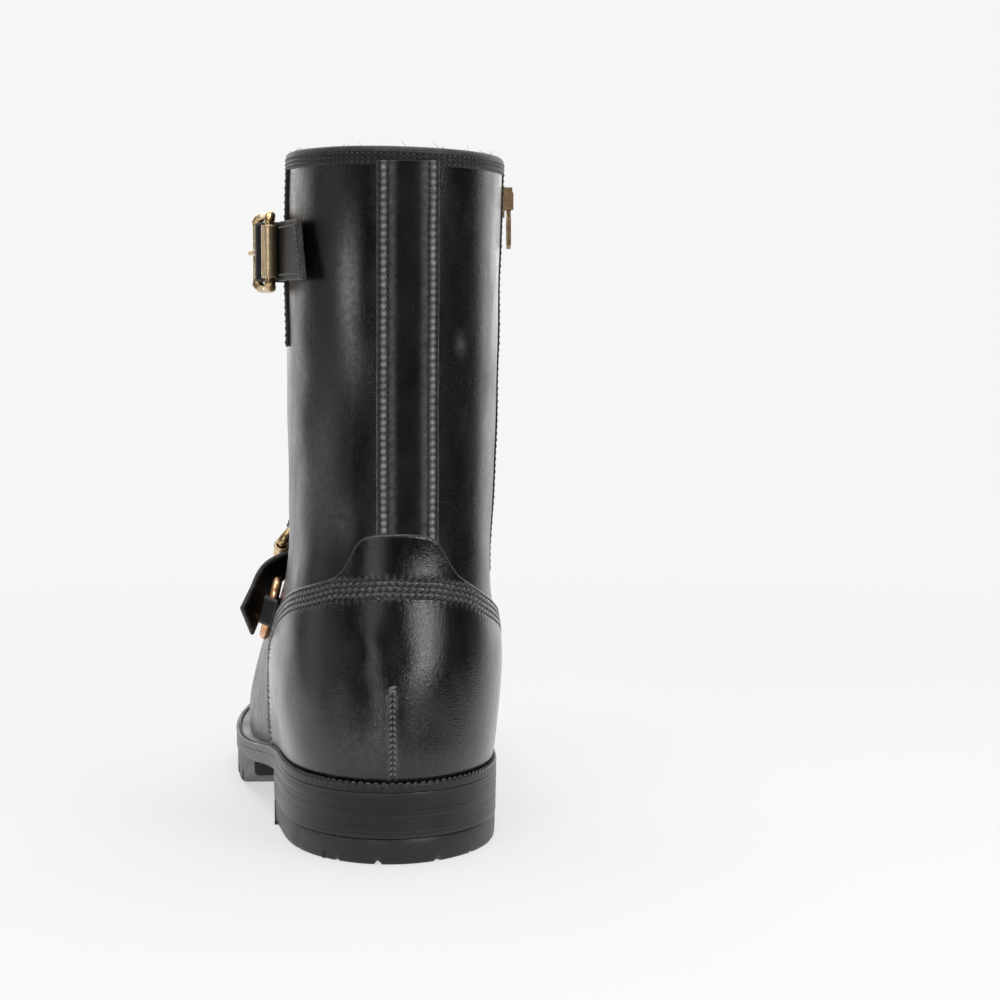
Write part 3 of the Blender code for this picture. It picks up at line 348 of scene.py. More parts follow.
def foot(points, rounds=5):
    """The shares round and up of the surface's nearest place to each point."""
    points = np.asarray(points, float)
    shape = points.shape[:-1]
    p = points.reshape(-1, 3)
    u, v = np.empty(len(p)), np.empty(len(p))
    for k, q in enumerate(p):
        j, i = divmod(FINE.find_nearest(Vector(q))[2], FINE_U)
        u[k], v[k] = (i + 0.5) / FINE_U, (j + 0.5) / FINE_V
    e = 1e-4
    for _ in range(rounds):
        r = p - surface(u, v)
        su = (surface(u + e, v) - surface(u - e, v)) / (2 * e)
        v1, v0 = np.clip(v + e, 0, 1), np.clip(v - e, 0, 1)
        sv = (surface(u, v1) - surface(u, v0)) / (v1 - v0)[:, None]
        a, b, c = np.sum(su * su, 1), np.sum(su * sv, 1), np.sum(sv * sv, 1)
        d, f = np.sum(su * r, 1), np.sum(sv * r, 1)
        det = a * c - b * b
        u = u + np.clip((c * d - b * f) / det, -0.01, 0.01)
        v = np.clip(v + np.clip((a * f - b * d) / det, -0.01, 0.01), 0, 1)
    return (u % 1.0).reshape(shape), v.reshape(shape)


def from_bearing(bearing, height, centre=(3.0, 0.0)):
    """The shares round and up at bearings (degrees from straight back, + inner)
    and heights, met from outside."""
    bearing, height = np.broadcast_arrays(np.asarray(bearing, float), np.asarray(height, float))
    hits = []
    for b, z in zip(np.radians(bearing).ravel(), height.ravel()):
        out = Vector((math.sin(b), -math.cos(b), 0.0))
        c = Vector((centre[0], centre[1], z))
        hit = FINE.ray_cast(c + 330 * out, -out)[0]
        hits.append(tuple(hit) if hit else tuple(c))
    return foot(np.array(hits).reshape(bearing.shape + (3,)))


# ------------------------------------------------------- creases
# Soft troughs (depth under 0) and ridges. kind says what the crease runs along:
# "across" lies across the vamp at a distance y, "ring" lies round the shaft at a
# height z, "upright" stands on the back of the shaft at a place x, and "dent" is
# a round hollow or swelling at x, z on the back. lean is how far it slants.
CREASE_COLUMNS = ("kind", "at", "lean", "width", "depth", "low", "high", "fade")
CREASES = (
    ("across", 150.0, 0.16, 3.6, -0.9, -36.0, 26.0, 9.0),
    ("across", 158.5, 0.22, 3.2, 0.7, -34.0, 30.0, 9.0),
    ("across", 166.0, 0.20, 3.0, -0.8, -30.0, 34.0, 9.0),
    ("across", 140.0, 0.10, 4.4, -0.5, -22.0, 36.0, 9.0),
    ("across", 175.0, 0.10, 3.0, -0.35, -14.0, 30.0, 9.0),
    ("ring", 116.0, 0.10, 4.6, -1.2, -26.0, 34.0, 12.0),
    ("ring", 125.0, -0.06, 4.0, 0.9, -30.0, 32.0, 12.0),
    ("ring", 134.0, 0.08, 4.4, -0.9, -34.0, 24.0, 12.0),
    ("ring", 147.0, -0.10, 5.5, -0.5, -20.0, 34.0, 12.0),
    ("upright", -13.0, 0.05, 5.0, 0.45, 112.0, 214.0, 22.0),
    ("upright", -22.0, 0.02, 6.0, -0.40, 118.0, 236.0, 26.0),
    ("upright", 28.0, -0.03, 6.5, -0.45, 122.0, 230.0, 26.0),
    ("upright", 7.0, 0.00, 7.0, -0.35, 128.0, 236.0, 26.0),
    ("upright", -29.0, 0.04, 4.0, 0.30, 108.0, 160.0, 16.0),
)
DENTS = (   # x, z, radius, depth: on the back of the heel and the ankle
    (-6.5, 76.5, 5.0, 0.55), (-15.0, 70.0, 8.0, -0.40), (1.5, 72.0, 4.5, -0.30),
    (-11.0, 52.0, 7.5, -0.45), (14.0, 46.0, 10.0, -0.35), (20.0, 66.0, 11.0, 0.30),
    (-3.0, 62.0, 4.0, 0.25), (-24.0, 58.0, 9.0, 0.30), (8.0, 108.0, 6.0, -0.25),
)


def relief(p):
    """How far the creases lift or lower the leather at points p, mm."""
    x, y, z = p[..., 0], p[..., 1], p[..., 2]
    total = 0.16 * np.sin(0.13 * x + 0.045 * z + 0.8) * np.sin(0.071 * z - 0.05 * y + 1.9)
    total = total + 0.10 * np.sin(0.21 * x - 0.16 * y) * np.sin(0.19 * z + 0.6)
    for row in CREASES:
        r = dict(zip(CREASE_COLUMNS, row))
        if r["kind"] == "across":
            along, off = x, y - (r["at"] + r["lean"] * x)
            where = smooth((z - 40.0) / 14.0) * smooth((y - 110) / 15.0)
        elif r["kind"] == "ring":
            along, off = x, z - (r["at"] + r["lean"] * x)
            where = smooth((y - 52.0) / 26.0)
        else:
            along, off = z, x - (r["at"] + r["lean"] * (z - 170.0))
            where = smooth((18.0 - y) / 18.0)
        ends = smooth((along - r["low"]) / r["fade"]) * smooth((r["high"] - along) / r["fade"])
        total = total + r["depth"] * np.exp(-(off / r["width"]) ** 2) * ends * where
    for cx, cz, radius, depth in DENTS:
        d2 = (x - cx) ** 2 + (z - cz) ** 2
        total = total + depth * np.exp(-d2 / radius ** 2) * smooth((8.0 - y) / 12.0)
    return total * smooth((z - sole_line(y) - 2.0) / 8.0)


def lay(u, v, height):
    """Points at a height over the creased leather."""
    s = surface(u, v)
    return s + (relief(s) + height)[..., None] * normal(u, v)


# ---------------------------------------------------------------- mesh making
def grid_faces(rows, cols, wrap_cols=False, wrap_rows=False):
    j, i = np.meshgrid(np.arange(rows if wrap_rows else rows - 1),
                       np.arange(cols if wrap_cols else cols - 1), indexing="ij")
    k, m = (i + 1) % cols, (j + 1) % rows
    return np.stack([j * cols + i, j * cols + k, m * cols + k, m * cols + i], -1).reshape(-1, 4)


class Piece:
    """A mesh in the making: points in mm, faces, a 0-to-1 lightening per point for rubbed leather and painted
    highlights, and material index.
    """

    def __init__(self):
        self.points, self.faces, self.wear_and_sheen, self.index, self.count = [], [], [], [], 0

    def add(self, points, faces, wear_and_sheen=0.0, index=0):
        points = np.asarray(points, float).reshape(-1, 3)
        faces = np.asarray(faces, int) if not isinstance(faces, list) else faces
        self.faces += (faces + self.count).tolist() if isinstance(faces, np.ndarray) \
            else [[i + self.count for i in f] for f in faces]
        self.points.append(points)
        self.wear_and_sheen.append(np.broadcast_to(np.asarray(wear_and_sheen, float).reshape(-1), (len(points),))
                         if np.size(wear_and_sheen) in (1, len(points)) else np.zeros(len(points)))
        self.index += list(index) if np.ndim(index) else [index] * len(faces)
        self.count += len(points)
        return self

    def copies(self, shape, faces, places, t, n, scale=1.0, wear_and_sheen=0.0, index=0):
        """The same small shape set at many places: its x along t, its z along n."""
        places, t, n = (np.asarray(a, float).reshape(-1, 3) for a in (places, t, n))
        if not len(places):
            return self
        t = t / np.linalg.norm(t, axis=1, keepdims=True)
        n = n - np.sum(n * t, 1, keepdims=True) * t
        n = n / np.linalg.norm(n, axis=1, keepdims=True)
        b = np.cross(n, t)
        basis = np.stack([t, b, n], 1)
        scale = np.broadcast_to(np.asarray(scale, float).reshape(-1), (len(places),))
        points = places[:, None] + np.einsum("vk,mkc->mvc", shape, basis) * scale[:, None, None]
        faces = np.asarray(faces)
        all_faces = (faces[None] + (np.arange(len(places)) * len(shape))[:, None, None]).reshape(-1, faces.shape[1])
        return self.add(points, all_faces, wear_and_sheen, index)

    def make(self, name, materials, slot, replaces=(), body="boot", sharp=50.0, recalc=True):
        mesh = bpy.data.meshes.new(name)
        mesh.from_pydata((np.concatenate(self.points) * MM).tolist(), [], self.faces)
        for m in materials:
            mesh.materials.append(m)
        mesh.polygons.foreach_set("material_index", np.array(self.index, np.int32))
        worn_and_sheen = mesh.attributes.new("wear_and_sheen", "FLOAT", "POINT")
        worn_and_sheen.data.foreach_set("value", np.clip(np.concatenate(self.wear_and_sheen), 0, 1).astype(np.float32))
        mesh.update()
        if recalc:
            bm = bmesh.new()
            bm.from_mesh(mesh)
            bmesh.ops.recalc_face_normals(bm, faces=bm.faces)
            bm.to_mesh(mesh)
            bm.free()
        mesh.shade_smooth()
        if sharp:
            mesh.set_sharp_from_angle(angle=math.radians(sharp))
        ob = bpy.data.objects.new(name, mesh)
        bpy.context.scene.collection.objects.link(ob)
        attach(ob, body)
        if replaces:
            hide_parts(*replaces)
        return ob


def capsule(length, radius, lift, sides=6, rings=6):
    """One stitch: a short thread that rises from its two holes."""
    x = np.linspace(-1, 1, rings)
    a = np.arange(sides) / sides * 2 * math.pi
    r = radius * (0.55 + 0.45 * np.sqrt(np.clip(1 - x ** 4, 0, 1)))
    z = lift * (1 - x ** 2) - radius * 0.9 * np.abs(x) ** 3
    pts = np.stack([np.broadcast_to(x[:, None] * length / 2, (rings, sides)),
                    r[:, None] * np.cos(a), z[:, None] + r[:, None] * np.sin(a)], -1).reshape(-1, 3)
    faces = grid_faces(rings, sides, True).tolist()
    tris = []
    for q in faces:
        tris += [[q[0], q[1], q[2]], [q[0], q[2], q[3]]]
    for base in (0, (rings - 1) * sides):
        tris += [[base, base + k, base + k + 1] for k in range(1, sides - 1)]
    return pts, np.array(tris)


def hole_shade_lens(radius, height=0.12, sides=8):
    """A low near-black lens at a stitch hole's mouth: painted shade in the hole."""
    a = np.arange(sides) / sides * 2 * math.pi
    ring = np.stack([radius * 1.25 * np.cos(a), radius * np.sin(a), np.zeros(sides)], -1)
    pts = np.concatenate([ring, [[0, 0, height], [0, 0, -height]]])
    tris = [[k, (k + 1) % sides, sides] for k in range(sides)]
    tris += [[(k + 1) % sides, k, sides + 1] for k in range(sides)]
    return pts, np.array(tris)


def walk(points, extra, pitch, start=0.5):
    """Places every pitch mm along a polyline, with the tangent there; extra is
    an array carried along (such as normals)."""
    p = np.asarray(points, float)
    d = np.concatenate([[0], np.cumsum(np.linalg.norm(np.diff(p, axis=0), axis=1))])
    count = max(1, int(d[-1] / pitch))
    at = (np.arange(count) + start) * d[-1] / count
    place = np.stack([np.interp(at, d, p[:, k]) for k in range(3)], -1)
    ahead = np.stack([np.interp(at + 0.3, d, p[:, k]) for k in range(3)], -1)
    behind = np.stack([np.interp(at - 0.3, d, p[:, k]) for k in range(3)], -1)
    more = np.stack([np.interp(at, d, np.asarray(extra)[:, k]) for k in range(np.shape(extra)[1])], -1)
    return place, ahead - behind, more, at


def even(points, step):
    """A polyline read every step mm along it."""
    p = np.asarray(points, float)
    d = np.concatenate([[0], np.cumsum(np.linalg.norm(np.diff(p, axis=0), axis=1))])
    at = np.linspace(0, d[-1], max(2, int(round(d[-1] / step)) + 1))
    return np.stack([np.interp(at, d, p[:, k]) for k in range(p.shape[1])], -1), at


def row_on_leather(piece, points, height, pitch, thread=0.36, lift=0.22, slant=0.0,
                   seed=1, tight=0.80, holes=True, hole_size=0.42, jitter=0.12):
    """A row of stitches along points near the leather, at a height over it."""
    rng = np.random.RandomState(seed)
    dense, _ = even(points, 0.8)
    u, v = foot(dense)
    on, n = lay(u, v, np.full(u.shape, height)), normal(u, v)
    stitches_along(piece, on, n, pitch, thread, lift, slant, rng, tight, holes, hole_size, jitter)


def stitches_along(piece, on, n, pitch, thread, lift, slant, rng, tight=0.8, holes=True,
                   hole_size=0.42, jitter=0.12):
    place, t, nn, _ = walk(on, n, pitch)
    t = t / np.linalg.norm(t, axis=1, keepdims=True)
    side = np.cross(nn, t)
    turn = slant + jitter * rng.uniform(-1, 1, len(place))
    t2 = t + turn[:, None] * side
    shape, faces = capsule(pitch * tight, thread, lift)
    piece.copies(shape, faces, place + 0.05 * rng.uniform(-1, 1, (len(place), 3)), t2, nn,
                 scale=rng.uniform(0.94, 1.06, len(place)), index=0)
    if holes:
        # near-black lenses at the stitch holes: painted shade in the holes
        shade_lens, tris = hole_shade_lens(hole_size)
        piece.copies(shade_lens, tris, place + t * pitch / 2 + nn * 0.03, t, nn, index=1)


# ------------------------------------------------------------------ materials
class Nodes:
    """Short names for building a material's node tree."""

    def __init__(self, name):
        self.material = bpy.data.materials.new(name)
        self.material.use_nodes = True
        self.tree = self.material.node_tree
        self.shader = self.tree.nodes["Principled BSDF"]
        self.place = self.tree.nodes.new("ShaderNodeTexCoord").outputs["Object"]

    def node(self, kind, **values):
        n = self.tree.nodes.new("ShaderNode" + kind)
        for key, value in values.items():
            if hasattr(n, key) and key not in n.inputs:
                setattr(n, key, value)
            else:
                self.set(n.inputs[key.replace("_", " ") if key.replace("_", " ") in n.inputs else key], value)
        return n

    def set(self, socket, value):
        if isinstance(value, bpy.types.NodeSocket):
            self.tree.links.new(value, socket)
        else:
            socket.default_value = value

    def scaled(self, scale, turn=(0, 0, 0)):
        n = self.node("Mapping")
        self.set(n.inputs["Vector"], self.place)
        n.inputs["Scale"].default_value = scale
        n.inputs["Rotation"].default_value = turn
        return n.outputs["Vector"]

    def noise(self, scale, detail=3.0, rough=0.55, vector=None, distort=0.0):
        n = self.node("TexNoise")
        self.set(n.inputs["Vector"], vector or self.place)
        n.inputs["Scale"].default_value = scale
        n.inputs["Detail"].default_value = detail
        n.inputs["Roughness"].default_value = rough
        n.inputs["Distortion"].default_value = distort
        return n.outputs["Fac"]

    def cells(self, scale, feature="F1", vector=None):
        n = self.node("TexVoronoi", feature=feature)
        self.set(n.inputs["Vector"], vector or self.place)
        n.inputs["Scale"].default_value = scale
        return n.outputs["Distance"]

    def spread(self, value, low, high, to_low=0.0, to_high=1.0):
        n = self.node("MapRange")
        self.set(n.inputs["Value"], value)
        n.inputs["From Min"].default_value, n.inputs["From Max"].default_value = low, high
        n.inputs["To Min"].default_value, n.inputs["To Max"].default_value = to_low, to_high
        return n.outputs["Result"]

    def math(self, how, a, b=0.5):
        n = self.node("Math", operation=how)
        self.set(n.inputs[0], a)
        self.set(n.inputs[1], b)
        return n.outputs[0]

    def mix(self, share, a, b):
        n = self.node("Mix", data_type="RGBA")
        self.set(n.inputs["Factor"], share)
        for socket, value in ((n.inputs[6], a), (n.inputs[7], b)):
            self.set(socket, (*value, 1.0) if isinstance(value, tuple) else value)
        return n.outputs[2]

    def wear_and_sheen(self):
        n = self.node("Attribute")
        n.attribute_name = "wear_and_sheen"
        return n.outputs["Fac"]

    def bump(self, height, distance, strength=1.0, under=None):
        n = self.node("Bump")
        self.set(n.inputs["Height"], height)
        n.inputs["Distance"].default_value = distance
        n.inputs["Strength"].default_value = strength
        if under is not None:
            self.set(n.inputs["Normal"], under)
        return n.outputs["Normal"]

    def finish(self, colour, rough, bump=None, metal=0.0, coat=0.0, coat_rough=0.1, specular=0.5, sheen=0.0):
        i = self.shader.inputs
        self.set(i["Base Color"], (*colour, 1.0) if isinstance(colour, tuple) else colour)
        self.set(i["Roughness"], rough)
        i["Metallic"].default_value = metal
        i["Coat Weight"].default_value = coat
        i["Coat Roughness"].default_value = coat_rough
        i["Specular IOR Level"].default_value = specular
        i["Sheen Weight"].default_value = sheen
        if bump is not None:
            self.set(i["Normal"], bump)
            self.set(i["Coat Normal"], bump)
        return self.material


def polished_leather(name, dark=(0.0020, 0.0025, 0.0036), worn_and_sheen=(0.34, 0.325, 0.315), gloss=0.24,
                     coat=0.22, grain=1.0, specular=0.22):
    """Black calf with polish: a blue-grey and brown-grey patina, fine grain,
    hair-fine scratches and a coat that the grain breaks up."""
    k = Nodes(name)
    patina = k.spread(k.noise(26.0, 3.0, 0.55, k.scaled((1.0, 1.0, 0.45))), 0.42, 0.72)
    blotch = k.spread(k.noise(120.0, 4.0, 0.62, k.scaled((1.0, 1.0, 0.6))), 0.42, 0.74)
    cloud = k.spread(k.noise(38.0, 3.0, 0.55, k.scaled((1.0, 1.0, 0.4))), 0.38, 0.66)
    fine = k.noise(2600.0, 2.0, 0.6)
    colour = k.mix(k.math("MULTIPLY", patina, 0.55), dark, (0.0100, 0.0112, 0.0140))
    colour = k.mix(k.math("MULTIPLY", blotch, 0.30), colour, (0.020, 0.0195, 0.0195))
    speck = k.spread(k.noise(1300.0, 3.0, 0.6), 0.44, 0.74)
    colour = k.mix(k.math("MULTIPLY", speck, k.math("ADD", k.math("MULTIPLY", patina, 0.55), 0.08)), colour,
                   (0.050, 0.053, 0.060))
    hair = k.spread(k.noise(1.0, 1.0, 0.5, k.scaled((2600.0, 900.0, 90.0), (0.35, 0.2, 0.0))), 0.71, 0.76)
    hair2 = k.spread(k.noise(1.0, 1.0, 0.5, k.scaled((2200.0, 900.0, 100.0), (-0.6, 0.5, 0.3))), 0.71, 0.76)
    marks = k.math("MULTIPLY", k.math("MAXIMUM", hair, hair2), k.spread(k.noise(34.0, 2.0), 0.56, 0.64))
    colour = k.mix(k.math("MULTIPLY", marks, 0.6), colour, (0.07, 0.07, 0.072))
    mottle = k.spread(k.noise(420.0, 4.0, 0.65), 0.30, 0.68, 0.35, 1.0)
    # the lighter colour goes where the per-point attribute is high: rubbed polish, and also painted highlights on
    # pucker crowns, seam ridges and cut edges
    colour = k.mix(k.math("MULTIPLY", k.wear_and_sheen(), mottle), colour, worn_and_sheen)
    rough = k.math("ADD", k.spread(blotch, 0, 1, gloss - 0.04, gloss + 0.10), k.math("MULTIPLY", cloud, 0.12))
    rough = k.math("ADD", rough, k.math("MULTIPLY", k.wear_and_sheen(), 0.18))
    pores = k.cells(1500.0)
    bump = k.bump(k.noise(45.0, 2.0, 0.45), 0.0008, 0.14)
    bump = k.bump(k.noise(330.0, 3.0, 0.5), 0.00010, 0.28 * grain, bump)
    bump = k.bump(pores, 0.00012, 0.50 * grain, bump)
    bump = k.bump(fine, 0.00010, 0.60 * grain, bump)
    return k.finish(colour, rough, bump, coat=coat, coat_rough=0.11, specular=specular)


def edge_leather(name, brown=0.35):
    """Waxed sole edge: near black, lighter brown-grey where rubbed, with fine level lines."""
    k = Nodes(name)
    lines = k.noise(1.0, 3.0, 0.6, k.scaled((22.0, 22.0, 1500.0)))
    patch = k.spread(k.noise(70.0, 3.0), 0.40, 0.75)
    colour = k.mix(patch, (0.0055, 0.0055, 0.0060), (0.017, 0.015, 0.0138))
    colour = k.mix(k.math("MULTIPLY", k.spread(lines, 0.45, 0.7), brown), colour, (0.034, 0.029, 0.027))
    specks = k.spread(k.noise(900.0, 2.0), 0.73, 0.80)
    specks = k.math("MULTIPLY", specks, k.spread(k.noise(45.0, 1.0), 0.50, 0.62))
    colour = k.mix(k.math("MULTIPLY", specks, 0.7), colour, (0.16, 0.15, 0.14))
    colour = k.mix(k.wear_and_sheen(), colour, (0.075, 0.066, 0.060))
    rough = k.spread(lines, 0.3, 0.7, 0.30, 0.50)
    bump = k.bump(lines, 0.00012, 0.5)
    bump = k.bump(k.noise(800.0, 3.0), 0.00008, 0.4, bump)
    return k.finish(colour, rough, bump, coat=0.12, coat_rough=0.22, specular=0.3)


def rubber(name):
    k = Nodes(name)
    dust = k.spread(k.noise(120.0, 4.0, 0.65), 0.50, 0.80)
    colour = k.mix(dust, (0.0065, 0.0068, 0.0075), (0.017, 0.0160, 0.0150))
    colour = k.mix(k.wear_and_sheen(), colour, (0.070, 0.062, 0.055))
    bump = k.bump(k.noise(1800.0, 3.0), 0.00010, 0.5)
    return k.finish(colour, k.spread(dust, 0, 1, 0.42, 0.62), bump)


def brass(name, bright=(0.74, 0.53, 0.27), dark=(0.16, 0.095, 0.045), age=0.5, rough_low=0.20):
    """Antique brass: bright, with brown tarnish in random patches and fine brown lines."""
    k = Nodes(name)
    tarnish = k.spread(k.noise(330.0, 5.0, 0.65), 0.60 - 0.35 * age, 0.90 - 0.30 * age)
    lines = k.noise(1.0, 3.0, 0.6, k.scaled((1400.0, 1400.0, 120.0)))
    colour = k.mix(tarnish, bright, dark)
    colour = k.mix(k.math("MULTIPLY", k.spread(lines, 0.45, 0.75), 0.35), colour, (0.30, 0.19, 0.09))
    rough = k.spread(tarnish, 0, 1, rough_low, rough_low + 0.25)
    bump = k.bump(lines, 0.00006, 0.5)
    bump = k.bump(k.noise(900.0, 3.0), 0.00010, 0.5, bump)
    return k.finish(colour, rough, bump, metal=1.0)


def thread(name, colour=(0.016, 0.016, 0.018), light=(0.060, 0.060, 0.064), rough=0.38):
    """Waxed twisted thread."""
    k = Nodes(name)
    twist = k.noise(3200.0, 2.0, 0.6)
    c = k.mix(k.spread(twist, 0.4, 0.75), colour, light)
    return k.finish(c, rough, k.bump(twist, 0.00012, 0.7), coat=0.25, coat_rough=0.2)


def plain(name, colour, rough, grain=900.0, depth=0.0001, second=None):
    k = Nodes(name)
    n = k.noise(grain, 4.0, 0.6)
    c = k.mix(k.spread(n, 0.35, 0.7), colour, second or tuple(q * 1.6 for q in colour))
    return k.finish(c, rough, k.bump(n, depth, 0.6))


LEATHER_MAT = polished_leather("polished_black_leather")
# the lighter colours of the back stay, counter and strap leathers serve mostly as painted highlights on pucker crowns,
# seam ridges and cut edges
STAY_MAT = polished_leather("back_stay_leather", gloss=0.32, worn_and_sheen=(0.46, 0.45, 0.43))
COUNTER_MAT = polished_leather("counter_leather", gloss=0.14, coat=0.40, specular=0.36, worn_and_sheen=(0.26, 0.255, 0.245))
STRAP_MAT = polished_leather("strap_leather", gloss=0.46, coat=0.12, grain=1.3, worn_and_sheen=(0.20, 0.185, 0.17))
LINING_MAT = plain("lining_leather", (0.060, 0.042, 0.030), 0.75, 700.0, 0.00015)
SOCK_MAT = plain("insole_leather", (0.22, 0.145, 0.085), 0.70, 500.0, 0.00015, (0.30, 0.205, 0.125))
EDGE_MAT = edge_leather("waxed_sole_edge")
WELT_MAT = edge_leather("waxed_welt", 0.2)
RUBBER_MAT = rubber("black_rubber")
THREAD_MAT = thread("black_waxed_thread")
WELT_THREAD_MAT = thread("welt_thread", (0.040, 0.039, 0.038), (0.15, 0.145, 0.14), 0.45)
HEEL_THREAD_MAT = thread("heel_seam_thread", (0.10, 0.10, 0.098), (0.30, 0.29, 0.28), 0.55)
# near-black material of the stitch hole lenses: painted shade
HOLE_SHADE_MAT = plain("painted_stitch_hole_shade", (0.0015, 0.0015, 0.0015), 0.9)
BRASS_MAT = brass("antique_brass")
BRIGHT_MAT = brass("rubbed_brass", (0.90, 0.70, 0.45), (0.46, 0.32, 0.19), 0.30, 0.36)
SLIDER_MAT = brass("slider_brass", (0.66, 0.47, 0.27), (0.16, 0.10, 0.055), 0.55, 0.30)
COPPER_MAT = brass("coppery_brass", (0.82, 0.46, 0.26), (0.34, 0.15, 0.07), 0.35, 0.18)
DARK_BRASS_MAT = brass("dark_brass", (0.30, 0.21, 0.12), (0.055, 0.038, 0.024), 0.85, 0.26)
TAPE_MAT = plain("zip_tape", (0.010, 0.010, 0.011), 0.85, 2400.0, 0.00015)


# ------------------------------------------------------------------ the upper
def in_zip(p):
    """1 in the zip's slot, with soft sides."""
    inside = smooth((3.9 - np.abs(p[..., 1] - sum(ZIP_Y) / 2)) / 0.9)
    return inside * smooth((p[..., 2] - ZIP_BOTTOM_Z) / 2.0) * (p[..., 0] > 15)


PATINA = (   # rubbed places on the back of the shaft: x, z, how wide, how tall, how strong
    (-14.0, 203.0, 3.0, 19.0, 1.00), (-12.0, 176.0, 4.0, 12.0, 0.30), (-23.0, 142.0, 5.0, 24.0, 0.20),
    (-33.5, 165.0, 3.0, 42.0, 0.55), (-30.0, 128.0, 5.0, 20.0, 0.30), (-16.0, 120.0, 5.0, 10.0, 0.18),
    (12.8, 188.0, 1.6, 26.0, 0.45), (26.0, 182.0, 1.8, 3.5, 0.30), (37.0, 150.0, 2.0, 40.0, 0.22),
)


def rubbed(p):
    """How much the polish is rubbed off the leather, 0 to 1."""
    w = np.zeros(p.shape[:-1])
    for x, z, wide, tall, strong in PATINA:
        w = w + strong * np.exp(-((p[..., 0] - x) / wide) ** 2 - ((p[..., 2] - z) / tall) ** 2) * (p[..., 1] < 25)
    return w


def build_upper_skin():
    """The whole wall as one closed skin: outer face, rolled collar, lining."""
    around = 330
    u = np.arange(around) / around
    outer_v = np.concatenate([np.linspace(0, 0.97, 186), np.linspace(0.974, 1.0, 10)])
    loops, kinds = [], []
    for v in outer_v:
        vv = np.full(around, v)
        slot = in_zip(surface(u, vv))
        vv = vv - 0.014 * slot * smooth((v - 0.90) / 0.08)
        p = lay(u, vv, -1.35 * slot)
        s = sole_line(p[:, 1])
        p[:, 2] = np.maximum(p[:, 2], s - 0.25)
        loops.append(p)
        kinds.append(0)
    top_v = np.full(around, 1.0) - 0.014 * in_zip(surface(u, np.full(around, 1.0)))
    top, n = lay(u, top_v, np.zeros(around)), normal(u, top_v)
    half = LEATHER / 2
    for a in (30, 60, 90, 120, 150):
        c, d = math.cos(math.radians(a)), math.sin(math.radians(a))
        loops.append(top - n * half * (1 - c) + np.array([0, 0, 1.0]) * half * 0.85 * d)
        kinds.append(0)
    for v in np.linspace(1.0, 0.0, 60):
        vv = np.minimum(np.full(around, v), top_v)
        p = surface(u, vv) - LEATHER * normal(u, vv)
        p[:, 2] = np.maximum(p[:, 2], sole_line(p[:, 1]) - 0.25)
        loops.append(p)
        kinds.append(1)
    faces = grid_faces(len(loops), around, True, True)
    index = np.repeat(np.array(kinds), around)
    Piece().add(np.array(loops), faces, np.clip(rubbed(np.array(loops)), 0, 1), index).make(
        "upper_leather", [LEATHER_MAT, LINING_MAT], "upper", ["upper"], sharp=None)


def overlay(name, centre, width, height_of, material, slot, across=44, step=0.45, under=-0.35,
            wear_and_sheen_of=None):
    """A leather strip laid on the boot along a line of points. height_of(across
    from the line's left edge, along) gives its height over the leather."""
    line, at = even(centre, step)
    u, v = foot(line)
    on, n = surface(u, v), normal(u, v)
    t = np.gradient(on, axis=0)
    kernel = np.ones(9) / 9
    for k in range(3):
        t[:, k] = np.convolve(np.pad(t[:, k], 4, "edge"), kernel, "valid")
    side = np.cross(t, n)
    side /= np.linalg.norm(side, axis=1, keepdims=True)
    share = (1 - np.cos(np.linspace(0, math.pi, across))) / 2 * 0.35 + np.linspace(0, 1, across) * 0.65
    s = share * width
    grid_points = on[:, None] + (s - width / 2)[None, :, None] * side[:, None]
    u, v = foot(grid_points)
    a, c = np.meshgrid(at, s, indexing="ij")
    top = lay(u, v, height_of(c, a, at[-1]))
    low = lay(u, v, np.full(u.shape, under))
    wear_and_sheen = np.clip(wear_and_sheen_of(c, a, at[-1]), 0, 1) if wear_and_sheen_of else np.zeros(a.shape)
    rows = len(at)
    loop = np.concatenate([top, low[:, ::-1]], 1)
    faces = grid_faces(rows, loop.shape[1], True)
    m = loop.shape[1]
    caps = []
    for base in (0, (rows - 1) * m):
        caps += [[base + k, base + k + 1, base + m - 2 - k, base + m - 1 - k] for k in range(m // 2 - 1)]
    piece = Piece().add(loop, faces.tolist() + caps,
                        np.concatenate([wear_and_sheen, np.zeros(wear_and_sheen.shape)], 1))
    return piece, on, at


def rounded(c, width, thick, radius=0.8):
    """Profile of a strip: thickness with rounded edges."""
    d = np.minimum(c, width - c)
    return thick * np.sqrt(np.clip(1 - (1 - np.clip(d / radius, 0, 1)) ** 2, 0, 1)) - 0.05


STAY_X = (-5.2, 18.5)     # the back stay's two edges
STAY_T = 1.15
STAY_ROWS = (1.55, 4.55)  # its stitch rows, from either edge
STAY_PITCH = 2.55


